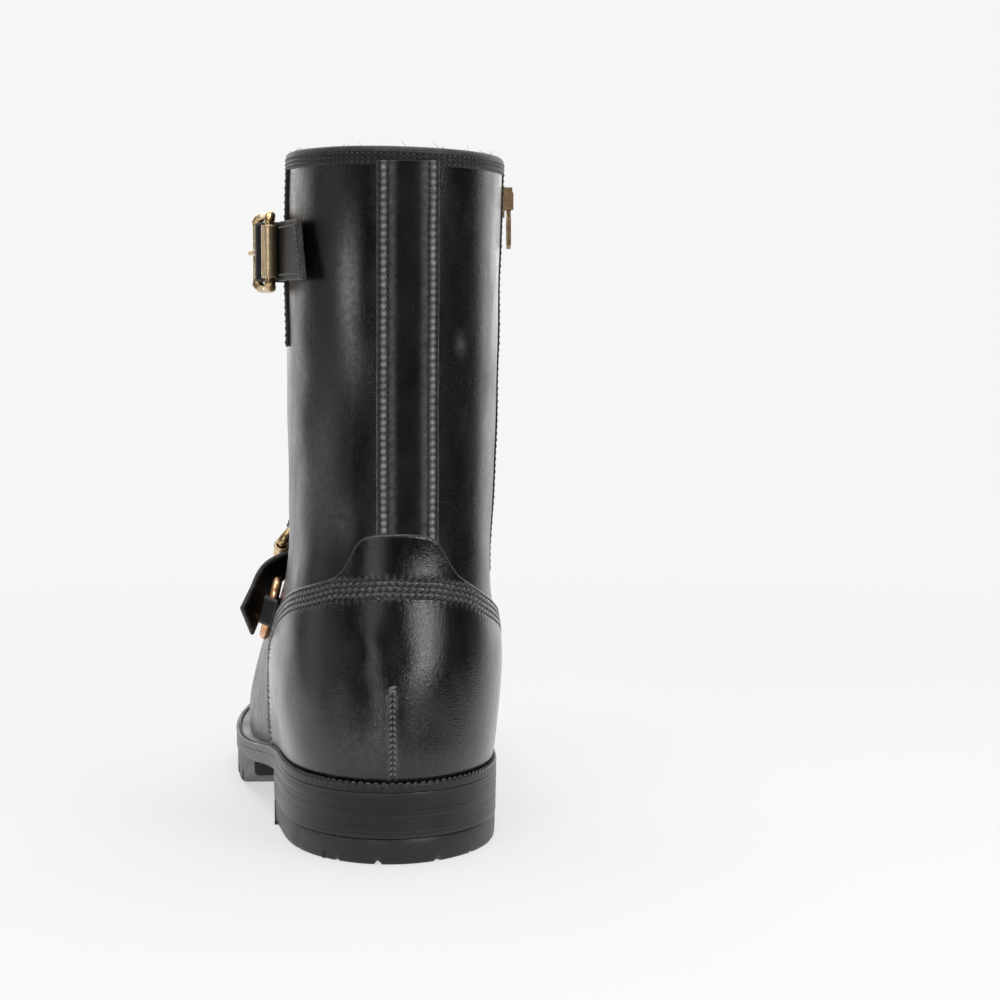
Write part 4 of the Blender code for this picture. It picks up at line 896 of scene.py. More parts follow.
def build_back_stay():
    width = STAY_X[1] - STAY_X[0]
    middle = sum(STAY_X) / 2
    zs = np.linspace(109.0, 246.3, 60)
    centre = []
    for z in zs:
        hit = FINE.ray_cast(Vector((middle, -90, z)), Vector((0, 1, 0)))[0]
        centre.append(tuple(hit))

    def height(c, a, length):
        h = rounded(c, width, STAY_T, 1.0)
        for side in (0, 1):
            d = c if side == 0 else width - c
            h -= 0.34 * np.exp(-((d - STAY_ROWS[0]) / 0.42) ** 2)
            h -= 0.34 * np.exp(-((d - STAY_ROWS[1]) / 0.42) ** 2)
            mid = sum(STAY_ROWS) / 2
            pucker = 0.5 + 0.5 * np.cos(2 * math.pi * a / STAY_PITCH)
            h += (0.10 + 0.34 * pucker) * np.exp(-((d - mid) / 0.85) ** 2)
            h += 0.10 * pucker * np.exp(-((d - STAY_ROWS[1] - 1.2) / 0.8) ** 2)
        h -= 0.22 * np.exp(-((c - width / 2) / 5.0) ** 2)
        h += 0.12 * np.sin(a / 9.0) * np.exp(-((c - width / 2) / 6.0) ** 2)
        return h

    # lighter colour on the pucker crowns between the stitch rows, along both cut edges and in a band inside the inner
    # rows: painted highlights
    def wear_and_sheen(c, a, length):
        w = np.zeros(c.shape)
        for side in (0, 1):
            d = c if side == 0 else width - c
            pucker = 0.5 + 0.5 * np.cos(2 * math.pi * a / STAY_PITCH)
            w += (0.30 + 0.70 * pucker) * np.exp(-((d - sum(STAY_ROWS) / 2) / 1.15) ** 2)
            w += 0.50 * np.exp(-((d - 0.35) / 0.4) ** 2)
            w += 0.22 * np.exp(-((d - STAY_ROWS[1] - 1.6) / 1.3) ** 2)
        return w

    piece, on, at = overlay("back_stay", centre, width, height, STAY_MAT, "upper", 64, 0.45,
                            wear_and_sheen_of=wear_and_sheen)
    piece.make("back_stay", [STAY_MAT], "upper", sharp=None)
    rows = Piece()
    for k, x in enumerate((STAY_X[0] + STAY_ROWS[0], STAY_X[0] + STAY_ROWS[1],
                           STAY_X[1] - STAY_ROWS[1], STAY_X[1] - STAY_ROWS[0])):
        line = []
        for z in np.linspace(111.0, 245.3, 90):
            hit = FINE.ray_cast(Vector((x, -90, z)), Vector((0, 1, 0)))[0]
            line.append(tuple(hit))
        row_on_leather(rows, line, STAY_T - 0.36, STAY_PITCH, 0.40, 0.24,
                       slant=0.16 if k % 2 else -0.16, seed=10 + k, hole_size=0.5)
    rows.make("back_stay_stitches", [THREAD_MAT, HOLE_SHADE_MAT], "upper")


def build_collar():
    """The collar's folded binding, over the rim, with its rows of stitching."""
    around = 420
    u = np.arange(around) / around
    slot = in_zip(surface(u, np.full(around, 0.99)))
    top_v = 1.0 - 0.014 * slot
    depth = 4.9
    down = depth / 22.5 / (len(LEVELS) - 1)
    top_p, n = lay(u, top_v, np.zeros(around)), normal(u, top_v)
    loops = []
    rows_at = (1.05, 2.55, 4.0)
    cols = np.arange(around)
    pucker = 0.5 + 0.5 * np.cos(2 * math.pi * cols / around * 110)
    for s in np.linspace(depth, 0.0, 26):
        vv = top_v - down * s / depth
        h = 0.62 * math.sqrt(max(0.0, 1 - (1 - min((depth - s) / 0.6, 1)) ** 2)) - 0.05
        for r in rows_at:
            h = h - 0.16 * math.exp(-((s - r) / 0.32) ** 2)
        h = h + 0.14 * pucker * math.exp(-((s - 1.8) / 0.5) ** 2) + 0.12 * pucker * math.exp(-((s - 3.3) / 0.5) ** 2)
        loops.append(lay(u, vv, (h + np.zeros(around)) * (1 - 0.6 * slot) - 1.2 * slot))
    lift = 0.62
    for a in (25, 50, 75, 90, 105, 130, 155):
        c, d = math.cos(math.radians(a)), math.sin(math.radians(a))
        half = LEATHER / 2 + lift
        loops.append(top_p - n * (LEATHER / 2) + n * half * c + np.array([0, 0, 1.0]) * half * 0.9 * d)
    for s in np.linspace(0.0, depth * 0.9, 10):
        vv = top_v - down * s / depth
        loops.append(surface(u, vv) - (LEATHER + lift * 0.6) * normal(u, vv))
    for s in np.linspace(depth * 0.9, depth, 3):
        vv = top_v - down * s / depth
        loops.append(surface(u, vv) - (LEATHER * 0.5) * normal(u, vv))
    m = len(loops)
    wear_and_sheen = np.zeros((m, around))
    wear_and_sheen[:, :] = 0.18
    wear_and_sheen[24:33] = 0.45
    Piece().add(np.array(loops), grid_faces(m, around, True, True), wear_and_sheen).make(
        "collar_binding", [STRAP_MAT], "upper", sharp=None)
    rows = Piece()
    for k, s in enumerate(rows_at):
        vv = top_v - down * s / depth
        keep = np.where(slot < 0.05)[0]
        gap = int(np.argmax(np.diff(keep)))
        order = np.concatenate([keep[gap + 1:], keep[:gap + 1]]) if np.max(np.diff(keep)) > 1 else keep
        line = lay(u[order], vv[order], np.full(len(order), 0.40))
        stitches_along(rows, line, normal(u[order], vv[order]), 2.3, 0.34, 0.20,
                       0.25 if k != 1 else -0.25, np.random.RandomState(40 + k), 0.82, True, 0.40)
    rows.make("collar_stitches", [THREAD_MAT, HOLE_SHADE_MAT], "upper")
    # a few hairs of split thread along the rim
    rng = np.random.RandomState(7)
    hairs = Piece()
    for k in range(46):
        i = rng.randint(around)
        if slot[i] > 0.05:
            continue
        base = top_p[i] - n[i] * LEATHER / 2 + np.array([0, 0, 1.7])
        t = np.array([rng.uniform(-1, 1), rng.uniform(-1, 1), rng.uniform(0.2, 0.9)])
        t /= np.linalg.norm(t)
        bend = rng.uniform(-0.6, 0.6, 3)
        length = rng.uniform(0.8, 2.3)
        path = [base + t * length * q + bend * (length * q) ** 2 * 0.35 for q in np.linspace(0, 1, 6)]
        sweep(hairs, path, [0.05] * 5 + [0.02], 4)
    hairs.make("collar_frayed_threads", [THREAD_MAT], "upper")


def sweep(piece, path, radius, sides=12, closed=False, flat=None, index=0, wear_and_sheen=0.0):
    """Round wire along a path of points. radius may vary; flat=(direction, factor)
    stretches the section along a direction."""
    p = np.asarray(path, float)
    r = np.broadcast_to(np.asarray(radius, float), (len(p),))
    t = (np.roll(p, -1, 0) - np.roll(p, 1, 0)) if closed else np.gradient(p, axis=0)
    t /= np.linalg.norm(t, axis=1, keepdims=True)
    ref = np.array(flat[0], float) if flat else (np.array([0, 0, 1.0]) if abs(t[0][2]) < 0.9 else np.array([1.0, 0, 0]))
    a = np.arange(sides) / sides * 2 * math.pi
    loops = []
    for i in range(len(p)):
        n = ref - np.dot(ref, t[i]) * t[i]
        n /= np.linalg.norm(n)
        b = np.cross(t[i], n)
        k = flat[1][i] if flat and np.ndim(flat[1]) else (flat[1] if flat else 1.0)
        loops.append(p[i] + r[i] * (k * np.cos(a)[:, None] * n + np.sin(a)[:, None] * b))
        ref = n if not flat else ref
    faces = grid_faces(len(p), sides, True, closed).tolist()
    if not closed:
        faces += [list(range(sides))[::-1], [(len(p) - 1) * sides + k for k in range(sides)]]
    piece.add(np.array(loops), faces, wear_and_sheen, index)
    return piece


def build_side_seam():
    """The outer side's seam: a folded strip that stands proud, stitched twice."""
    spots = [(31.0 - 0.048 * (246 - z), z) for z in np.linspace(246.0, 181.0, 30)]
    line = []
    for y, z in spots:
        hit = FINE.ray_cast(Vector((-120, y, z)), Vector((1, 0, 0)))[0]
        line.append(tuple(hit))
    width, thick = 6.4, 1.05

    def height(c, a, length):
        h = rounded(c, width, thick, 0.9)
        for row in (1.5, width - 1.5):
            h -= 0.30 * np.exp(-((c - row) / 0.40) ** 2)
        return h + 0.25 * (0.5 + 0.5 * np.cos(2 * math.pi * a / 2.6)) * np.exp(-((c - width / 2) / 0.9) ** 2)

    piece, on, at = overlay("side_seam", line, width, height, STRAP_MAT, "upper", 26, 0.5)
    piece.make("side_seam_strip", [STRAP_MAT], "upper", sharp=None)
    rows = Piece()
    for k, off in enumerate((-width / 2 + 1.5, width / 2 - 1.5)):
        pts = []
        for y, z in spots:
            hit = FINE.ray_cast(Vector((-120, y + off, z)), Vector((1, 0, 0)))[0]
            pts.append(tuple(hit))
        row_on_leather(rows, pts, thick - 0.32, 2.6, 0.40, 0.24, 0.15, seed=60 + k)
    rows.make("side_seam_stitches", [THREAD_MAT, HOLE_SHADE_MAT], "upper")


# ---------------------------------------------------------------- the counter
COUNTER_H = GAP + COUNTER_T
ROW_STEP = 2.05
COUNTER_PITCH = 2.45
SHOULDER = (   # the counter's line as it would run under the tab: bearing, height
    (-60, 98.2), (-48, 99.4), (-30, 100.0), (-8, 100.3), (10, 100.2), (30, 99.6), (44, 98.2), (52, 97.4), (60, 96.4),
)


def counter_height(bearing):
    share = np.linspace(0, 1, 121)
    at = np.linspace(0, 1, len(COUNTER_LINE))
    b = np.interp(share, at, [q for q, _ in COUNTER_LINE])
    h = np.interp(share, at, [q for _, q in COUNTER_LINE])
    kernel = np.array([1, 2, 1]) / 4
    for _ in range(2):
        h[1:-1] = np.convolve(h, kernel, "valid")
    return np.interp(bearing, b, h)


def counter_edges():
    """Where the counter's line comes down to the welt, on either side."""
    b = np.linspace(-157, 157, 6281)
    h = counter_height(b)
    low = 27.5
    above = b[h > low]
    return above[0], above[-1]


def build_counter_skin():
    left, right = counter_edges()
    def stations(a, b, step):
        return np.arange(a, b, step)
    fine = 0.42
    columns = np.concatenate([stations(left, left + 14, fine * 0.8), stations(left + 14, right - 14, 0.72),
                              right - stations(0, 14, fine * 0.8)[::-1]])
    columns = np.unique(np.round(columns, 4))
    top = counter_height(columns)
    shoulder = np.where(np.abs(columns) < 60,
                        np.interp(columns, [b for b, _ in SHOULDER], [h for _, h in SHOULDER]), top)
    shoulder = np.minimum(shoulder, top)
    # height of the welt's top under each column
    u0, v0 = from_bearing(columns, np.full(len(columns), 33.0))
    y0 = surface(u0, v0)[:, 1]
    low = sole_line(y0) + 0.1
    band_low = np.maximum(shoulder - 9.4, low + (shoulder - low) * 0.45)
    rows = []
    for t in np.linspace(0, 1, 30)[:-1]:
        rows.append(low + (band_low - low) * t)
    for t in np.linspace(0, 1, 27)[:-1]:
        rows.append(band_low + (shoulder - 0.6 - band_low) * t)
    for t in 1 - (1 - np.linspace(0, 1, 14)) ** 1.6:
        rows.append(shoulder - 0.6 + (top - shoulder + 0.6) * t)
    z = np.array(rows)
    b = np.broadcast_to(columns, z.shape)
    u, v = from_bearing(b, z)
    base = surface(u, v)

    edge = boundary_line()
    rows_lines = stitch_lines()
    flat = base.reshape(-1, 3)
    d_edge = distance(flat, edge).reshape(b.shape)
    h = COUNTER_H * np.sqrt(np.clip(1 - (1 - np.clip(d_edge / 1.0, 0, 1)) ** 2, 0, 1)) - 0.1
    # a lighter line along the counter's cut edge: painted highlight
    wear_and_sheen = 0.55 * np.exp(-((d_edge - 0.35) / 0.45) ** 2)
    d_first, along = distance(flat, rows_lines[0], True)
    side_line = rows_lines[-1]
    phase = np.cos(2 * math.pi * along / COUNTER_PITCH)
    for k, line in enumerate(rows_lines):
        d = distance(flat, line).reshape(b.shape)
        h -= 0.30 * np.exp(-(d / 0.42) ** 2)
    for k in range(3):
        mid = offset_line((k + 0.5) * ROW_STEP)
        d, at = distance(flat, mid, True)
        d, at = d.reshape(b.shape), at.reshape(b.shape)
        pucker = 0.5 + 0.5 * np.cos(2 * math.pi * at / COUNTER_PITCH + k * math.pi)
        bulge = np.exp(-(d / 0.62) ** 2)
        h += (0.02 + 0.20 * pucker) * bulge
        # lighter colour on the pucker crowns between the rows: painted highlights
        wear_and_sheen += (0.12 + 0.50 * pucker) * bulge
    for extra in (-0.95, 3 * ROW_STEP + 1.0):
        mid = offset_line(extra)
        d, at = distance(flat, mid, True)
        d, at = d.reshape(b.shape), at.reshape(b.shape)
        pucker = 0.5 + 0.5 * np.cos(2 * math.pi * at / COUNTER_PITCH)
        h += 0.10 * pucker * np.exp(-(d / 0.7) ** 2)
        # lighter colour on the puckers beside the outer rows: painted highlights
        wear_and_sheen += 0.22 * pucker * np.exp(-(d / 0.7) ** 2)
    # the closed seam down the back of the heel
    seam = smooth((61.5 - base[..., 2]) / 2.5) * (base[..., 1] < 0)
    dx = base[..., 0] - HEEL_SEAM_X
    rung = 0.5 + 0.5 * np.cos(2 * math.pi * base[..., 2] / 1.9)
    h += seam * (-0.55 * np.exp(-(dx / 0.35) ** 2) + (0.15 + 0.12 * rung) * np.exp(-((np.abs(dx) - 1.1) / 0.6) ** 2))
    # lighter colour on the ridges beside the heel seam: painted highlights
    wear_and_sheen += seam * (0.12 + 0.25 * rung) * np.exp(-((np.abs(dx) - 1.0) / 0.55) ** 2)
    wear_and_sheen += 0.22 * np.exp(-((base[..., 0] + 8) / 12.0) ** 2 - ((base[..., 2] - 42) / 9.0) ** 2) * (base[..., 1] < 0)
    outer = lay(u, v, h)
    outer[..., 2] = np.maximum(outer[..., 2], sole_line(outer[..., 1]) + 0.05)
    inner = lay(u, v, np.full(u.shape, -0.45))
    inner[..., 2] = np.maximum(inner[..., 2], sole_line(inner[..., 1]) + 0.05)
    m, n = b.shape
    piece = Piece()
    faces = grid_faces(m, n)
    both = np.concatenate([outer.reshape(-1, 3), inner.reshape(-1, 3)])
    all_faces = faces.tolist() + (faces[:, ::-1] + m * n).tolist()
    border = [k for k in range(n)] + [j * n + n - 1 for j in range(1, m)] + \
             [(m - 1) * n + k for k in range(n - 2, -1, -1)] + [j * n for j in range(m - 2, 0, -1)]
    for k in range(len(border)):
        a, c = border[k], border[(k + 1) % len(border)]
        all_faces.append([c, a, a + m * n, c + m * n])
    piece.add(both, all_faces, np.concatenate([np.clip(wear_and_sheen, 0, 1).ravel(), np.zeros(m * n)]))
    piece.make("counter_leather", [COUNTER_MAT], "counter", ["counter"], sharp=None)

    stitches = Piece()
    for k, line in enumerate(rows_lines):
        row_on_leather(stitches, line, COUNTER_H - 0.42, COUNTER_PITCH, 0.42, 0.22,
                       slant=0.18, seed=80 + k, hole_size=0.5)
    stitches.make("counter_stitches", [THREAD_MAT, HOLE_SHADE_MAT], "counter")

    heel = Piece()
    rng = np.random.RandomState(5)
    for side in (-1, 1):
        zs = np.linspace(61.0, 31.5, 60)
        u, v = from_bearing(np.full(60, math.degrees(math.atan2(HEEL_SEAM_X + side * 0.62 - 3.0, 40.0))), zs)
        on = lay(u, v, np.full(60, COUNTER_H - 0.05))
        stitches_along(heel, on, normal(u, v), 1.9, 0.36, 0.12, side * 0.55, rng, 0.85, True, 0.34)
    # the bar of thread that ends the seam
    u, v = from_bearing(math.degrees(math.atan2(HEEL_SEAM_X - 3.0, 40.0)), np.array([62.0, 60.9]))
    on, n = lay(u, v, np.full(2, COUNTER_H)), normal(u, v)
    shape, tris = capsule(3.0, 0.5, 0.25)
    heel.copies(shape, tris, on, np.array([[1, 0, 0.25], [1, 0, -0.1]]), n)
    heel.make("heel_seam_stitches", [HEEL_THREAD_MAT, HOLE_SHADE_MAT], "counter")


HEEL_SEAM_X = -0.2


def distance(points, line, with_along=False):
    """Distance from each point to a polyline, and how far along the nearest place is."""
    line = np.asarray(line, float)
    a, d = line[:-1], np.diff(line, axis=0)
    length = np.linalg.norm(d, axis=1)
    start = np.concatenate([[0], np.cumsum(length)[:-1]])
    best, where = np.full(len(points), 1e9), np.zeros(len(points))
    low, high = line.min(0) - 14, line.max(0) + 14
    for lo in range(0, len(points), 4000):
        q = points[lo:lo + 4000]
        w = q[:, None] - a[None]
        t = np.clip(np.sum(w * d[None], -1) / (length ** 2 + 1e-12), 0, 1)
        gap = np.linalg.norm(w - t[..., None] * d[None], axis=-1)
        k = np.argmin(gap, 1)
        i = np.arange(len(q))
        best[lo:lo + 4000] = gap[i, k]
        where[lo:lo + 4000] = start[k] + t[i, k] * length[k]
    return (best, where) if with_along else best


def boundary_line():
    left, right = counter_edges()
    b = np.concatenate([np.arange(left, left + 12, 0.25), np.arange(left + 12, right - 12, 1.0),
                        np.arange(right - 12, right + 0.01, 0.25)])
    u, v = from_bearing(b, counter_height(b))
    return even(surface(u, v), 1.0)[0]


_SHOULDER_LINE = []


def shoulder_line():
    """The band's upper line: the counter's edge, and straight across under the tab."""
    if not _SHOULDER_LINE:
        left, right = counter_edges()
        b = np.concatenate([np.arange(left, left + 12, 0.25), np.arange(left + 12, right - 12, 1.0),
                            np.arange(right - 12, right + 0.01, 0.25)])
        h = np.where(np.abs(b) < 60, np.interp(b, [q for q, _ in SHOULDER], [q for _, q in SHOULDER]),
                     counter_height(b))
        h = np.minimum(h, counter_height(b))
        u, v = from_bearing(b, h)
        line = even(surface(u, v), 1.0)[0]
        for _ in range(6):
            line[1:-1] = (line[:-2] + 2 * line[1:-1] + line[2:]) / 4
        _SHOULDER_LINE.append(line)
    return _SHOULDER_LINE[0]


FIRST_ROW = 1.5


def offset_line(more):
    """The shoulder line moved in over the leather: FIRST_ROW and more mm."""
    line = shoulder_line()
    u, v = foot(line)
    n = normal(u, v)
    t = np.gradient(line, axis=0)
    t /= np.linalg.norm(t, axis=1, keepdims=True)
    inward = np.cross(t, n)
    if inward[len(inward) // 2][2] > 0:
        inward = -inward
    moved = line + inward * (FIRST_ROW + more)
    u, v = foot(moved)
    out = surface(u, v)
    keep = out[:, 2] > sole_line(out[:, 1]) + 1.2
    return even(out[keep], 1.0)[0]


def stitch_lines():
    return [offset_line(k * ROW_STEP) for k in range(4)]


# ------------------------------------------------------------------- the sole
def plan_stations(count):
    """The feather line read at equal steps, so that stitches can be counted on it."""
    p = surface(np.arange(720) / 720, np.zeros(720))[:, :2]
    loop = np.concatenate([p, p[:1]])
    d = np.concatenate([[0], np.cumsum(np.linalg.norm(np.diff(loop, axis=0), axis=1))])
    at = np.arange(count) / count * d[-1]
    return np.stack([np.interp(at, d, loop[:, k]) for k in range(2)], -1), at, d[-1]


def outline_of(plan, out):
    narrow = (WELT_OUT - WELT_HEEL) * (1 - smooth((plan[:, 1] - 15.0) / 60.0))
    out = np.asarray(out, float) + np.zeros(len(plan))
    return ring_offset(plan, out - narrow * np.clip(out / WELT_OUT, 0, 1))


WELT_PITCH = 2.75


def build_welt_ring():
    plan, at, length = plan_stations(1180)
    count = round(length / WELT_PITCH)
    phase = 2 * math.pi * at / length * count
    rib = 0.5 + 0.5 * np.cos(phase)
    # out, height over the welt's top, how much of the rib it takes
    profile = [(-2.6, -WELT_T, 0), (-2.6, 0.0, 0), (0.3, 0.05, 0), (0.8, 0.0, 0), (2.2, 0.0, 0.2), (3.3, -0.05, 0.5),
               (3.9, -0.35, 0.2), (4.4, -0.40, 0.1), (4.9, -0.10, 0.8), (5.4, 0.02, 1.0), (5.8, -0.12, 1.0),
               (6.0, -0.55, 0.9), (5.95, -1.2, 0.35), (5.9, -2.2, 0.1), (5.85, -2.85, 0), (5.6, -WELT_T, 0)]
    loops, wear_and_sheen = [], []
    for out, up, take in profile:
        xy = outline_of(plan, np.full(len(plan), out) + 0.08 * take * (rib - 0.5))
        z = sole_line(xy[:, 1]) - GAP + up + 0.13 * take * (rib - 0.6)
        loops.append(np.column_stack([xy, z]))
        wear_and_sheen.append(np.clip(take * (0.15 + 0.4 * rib), 0, 1))
    Piece().add(np.array(loops), grid_faces(len(loops), len(plan), True, True), np.array(wear_and_sheen)).make(
        "welt_strip", [WELT_MAT], "welt", ["welt"], sharp=None)
    xy = outline_of(plan, 4.2)
    line = np.column_stack([xy, sole_line(xy[:, 1]) - GAP - 0.05])
    line = np.concatenate([line, line[:1]])
    rows = Piece()
    up = np.tile([0.0, 0.0, 1.0], (len(line), 1))
    rng = np.random.RandomState(3)
    pitch = length / count
    d = np.concatenate([[0], np.cumsum(np.linalg.norm(np.diff(line, axis=0), axis=1))])
    stitches_along(rows, line, up, d[-1] / count * 0.9999, 0.42, 0.16, 0.30, rng, 0.84, True, 0.42)
    rows.make("welt_stitches", [WELT_THREAD_MAT, HOLE_SHADE_MAT], "welt")


def wall_piece(plan, profile, top, bottom, ripple=None, wear_and_sheen_of=None):
    """A plate with a shaped side wall. profile rows are (share of the height from
    the top, how far in). Its flats are filled between left and right stations."""
    loops, wears = [], []
    for share, inset in profile:
        xy = ring_offset(plan, -inset + (ripple(share) if ripple else 0.0))
        t, b = top(xy[:, 1]), bottom(xy[:, 1])
        z = t + (b - t) * share
        loops.append(np.column_stack([xy, z]))
        wears.append(wear_and_sheen_of(share, xy, z) if wear_and_sheen_of else np.zeros(len(plan)))
    n, m = len(plan), len(loops)
    faces = grid_faces(m, n, True).tolist()
    back, front = int(np.argmin(plan[:, 1])), int(np.argmax(plan[:, 1]))
    one = [(back + k) % n for k in range((front - back) % n + 1)]
    two = [(back - k) % n for k in range((back - front) % n + 1)]
    for base in (0, (m - 1) * n):
        i = j = 0
        while i < len(one) - 1 or j < len(two) - 1:
            step_one = j >= len(two) - 1 or (i < len(one) - 1 and plan[one[i + 1], 1] <= plan[two[j + 1], 1])
            if step_one:
                tri = (one[i], one[i + 1], two[j])
                i += 1
            else:
                tri = (one[i], two[j + 1], two[j])
                j += 1
            if len(set(tri)) == 3:
                faces.append([base + q for q in tri])
    return Piece().add(np.array(loops), faces, np.array(wears))


def build_sole_plates():
    plan, at, length = plan_stations(620)
    round_edge = [(0.0, 0.9), (0.0, 0.12), (0.03, 0.03), (0.1, 0.0), (0.5, -0.03), (0.9, 0.0), (0.97, 0.03),
                  (1.0, 0.12), (1.0, 0.9)]
    mid = outline_of(plan, WELT_OUT - 0.12)

    def worn_and_sheen(share, xy, z):
        return 0.35 * np.exp(-((share - 0.05) / 0.1) ** 2) + 0.30 * smooth((xy[:, 1] - 90) / 30) * (xy[:, 0] < 0)

    wall_piece(mid, round_edge, lambda y: under_welt(y) + 0.20, lambda y: under_welt(y) - MIDSOLE_T - 0.12,
               wear_and_sheen_of=worn_and_sheen).make(
        "midsole_plate", [EDGE_MAT], "midsole", ["midsole"], sharp=60)
    inner = outline_of(plan, 0.0)
    inner = ring_offset(plan, np.full(len(plan), -LEATHER - 0.8))
    wall_piece(inner, [(0.0, 2.0), (0.0, 0.6), (0.05, 0.1), (0.2, 0.0), (1.0, 0.0)],
               lambda y: sole_line(y) + INSOLE_RISE, lambda y: under_welt(y) + GAP).make(
        "insole_sock", [SOCK_MAT], "insole", ["insole"], sharp=60)


def smooth_heel(out, count=420):
    """The heel's plan: the sole's rear arc, closed by the hollow breast."""
    plan, _, _ = plan_stations(1400)
    p = outline_of(plan, out)
    xs = crossings(p, HEEL_BREAST_Y)
    keep = [tuple(q) for q in p if q[1] < HEEL_BREAST_Y - 0.6]
    keep.sort(key=lambda q: math.atan2(q[0], -q[1]))
    left, right = min(xs), max(xs)
    breast = [(right + (left - right) * t, HEEL_BREAST_Y - 3.0 * math.sin(math.pi * t))
              for t in np.linspace(0, 1, 40)]
    loop = np.array(keep + breast + keep[:1])
    return even(loop, 0.5)[0][:-1]


def build_heel_pieces():
    plan = smooth_heel(WELT_OUT - 0.22)
    bottom = HEEL_LIFT_T + GAP
    lines = np.random.RandomState(11).uniform(-0.05, 0.05, 60)

    def ripple(share):
        return float(np.interp(share * 40, np.arange(60), lines)) if 0.02 < share < 0.98 else 0.0

    shares = np.linspace(0.03, 0.97, 34)
    # the stack's sides run in a little towards the floor
    profile = [(0.0, 0.9), (0.0, 0.08)] + [(s, 0.22 * s + 0.02) for s in shares] + [(1.0, 0.30), (1.0, 1.2)]

    def worn_and_sheen(share, xy, z):
        return 0.20 * (np.abs((z * 0.55) % 1.0 - 0.5) < 0.07) + 0.15 * np.exp(-((share - 0.98) / 0.02) ** 2)

    wall_piece(plan, profile, lambda y: under_welt(y) - MIDSOLE_T - GAP + 0.25, lambda y: np.full(np.shape(y), bottom),
               ripple, worn_and_sheen).make("heel_stack_leather", [EDGE_MAT], "heel_stack", ["heel_stack"], sharp=60)

    base = smooth_heel(WELT_OUT - 0.10)
    n = len(base)
    bearing = np.degrees(np.arctan2(base[:, 0], -base[:, 1]))
    notch = np.zeros(n)
    for b, half, tall in NOTCHES:
        radius = 41.0
        off = np.radians(bearing - b) * radius
        notch = np.maximum(notch, tall * np.clip(1 - np.abs(off) / half, 0, 1) ** 0.6 * (base[:, 1] < 30))
    loops, wear_and_sheen = [], []
    for share, inset in [(0.0, 1.6), (0.0, 0.75), (0.04, 0.55), (0.3, 0.55), (0.6, 0.62), (0.8, 0.72), (0.92, 0.85),
                         (0.98, 1.15), (1.0, 1.7), (1.0, 4.2)]:
        xy = ring_offset(base, -inset)
        z = np.full(n, HEEL_LIFT_T * (1 - share))
        z = np.maximum(z, notch) if share > 0 else z
        loops.append(np.column_stack([xy, z]))
        wear_and_sheen.append(np.full(n, 0.25 if share in (0.04, 0.98) else 0.0) + 0.25 * (notch > 0.3) * (share > 0.7))
    # the tread's flat, with a recess that keeps clear of the floor
    inner = ring_offset(base, -5.0)
    loops.append(np.column_stack([inner, np.full(n, 1.6)]))
    wear_and_sheen.append(np.zeros(n))
    m = len(loops)
    faces = grid_faces(m, n, True).tolist() + [list(range(n)), [(m - 1) * n + k for k in range(n)][::-1]]
    Piece().add(np.array(loops), faces, np.array(wear_and_sheen)).make(
        "heel_top_lift", [RUBBER_MAT], "heel_lift", ["heel_lift"], sharp=40)
    # the raised pads inside the recess, at floor height
    pads = Piece()
    for x in (-18.0, 0.0, 18.0):
        for y in (-22.0, -6.0, 10.0, 25.0):
            if (x / 31.0) ** 2 + (min(y, 0) / 33.0) ** 2 > 0.85:
                continue
            w, d = 6.5, 5.6
            ring = []
            for z, k in ((2.2, 1.0), (0.35, 1.0), (0.0, 0.93)):
                ring.append([(x + sx * w * k, y + sy * d * k, z) for sx, sy in ((-1, -1), (1, -1), (1, 1), (-1, 1))])
            f = grid_faces(3, 4, True).tolist() + [[0, 1, 2, 3], [11, 10, 9, 8]]
            pads.add(np.array(ring), f)
    pads.make("heel_tread_pads", [RUBBER_MAT], "heel_lift")


NOTCHES = (   # bearing from straight back, half width, height
    (-71.0, 1.3, 1.5), (-32.0, 1.3, 1.5), (-8.0, 1.5, 1.6), (24.0, 1.6, 1.7), (50.5, 1.4, 1.6), (84.0, 1.3, 1.5),
    (-108.0, 1.3, 1.5),
)
LUG_LINES = (104.0, 120.0, 138.0, 156.0, 174.0, 192.0, 209.0, 225.0)   # grooves of the half sole, y


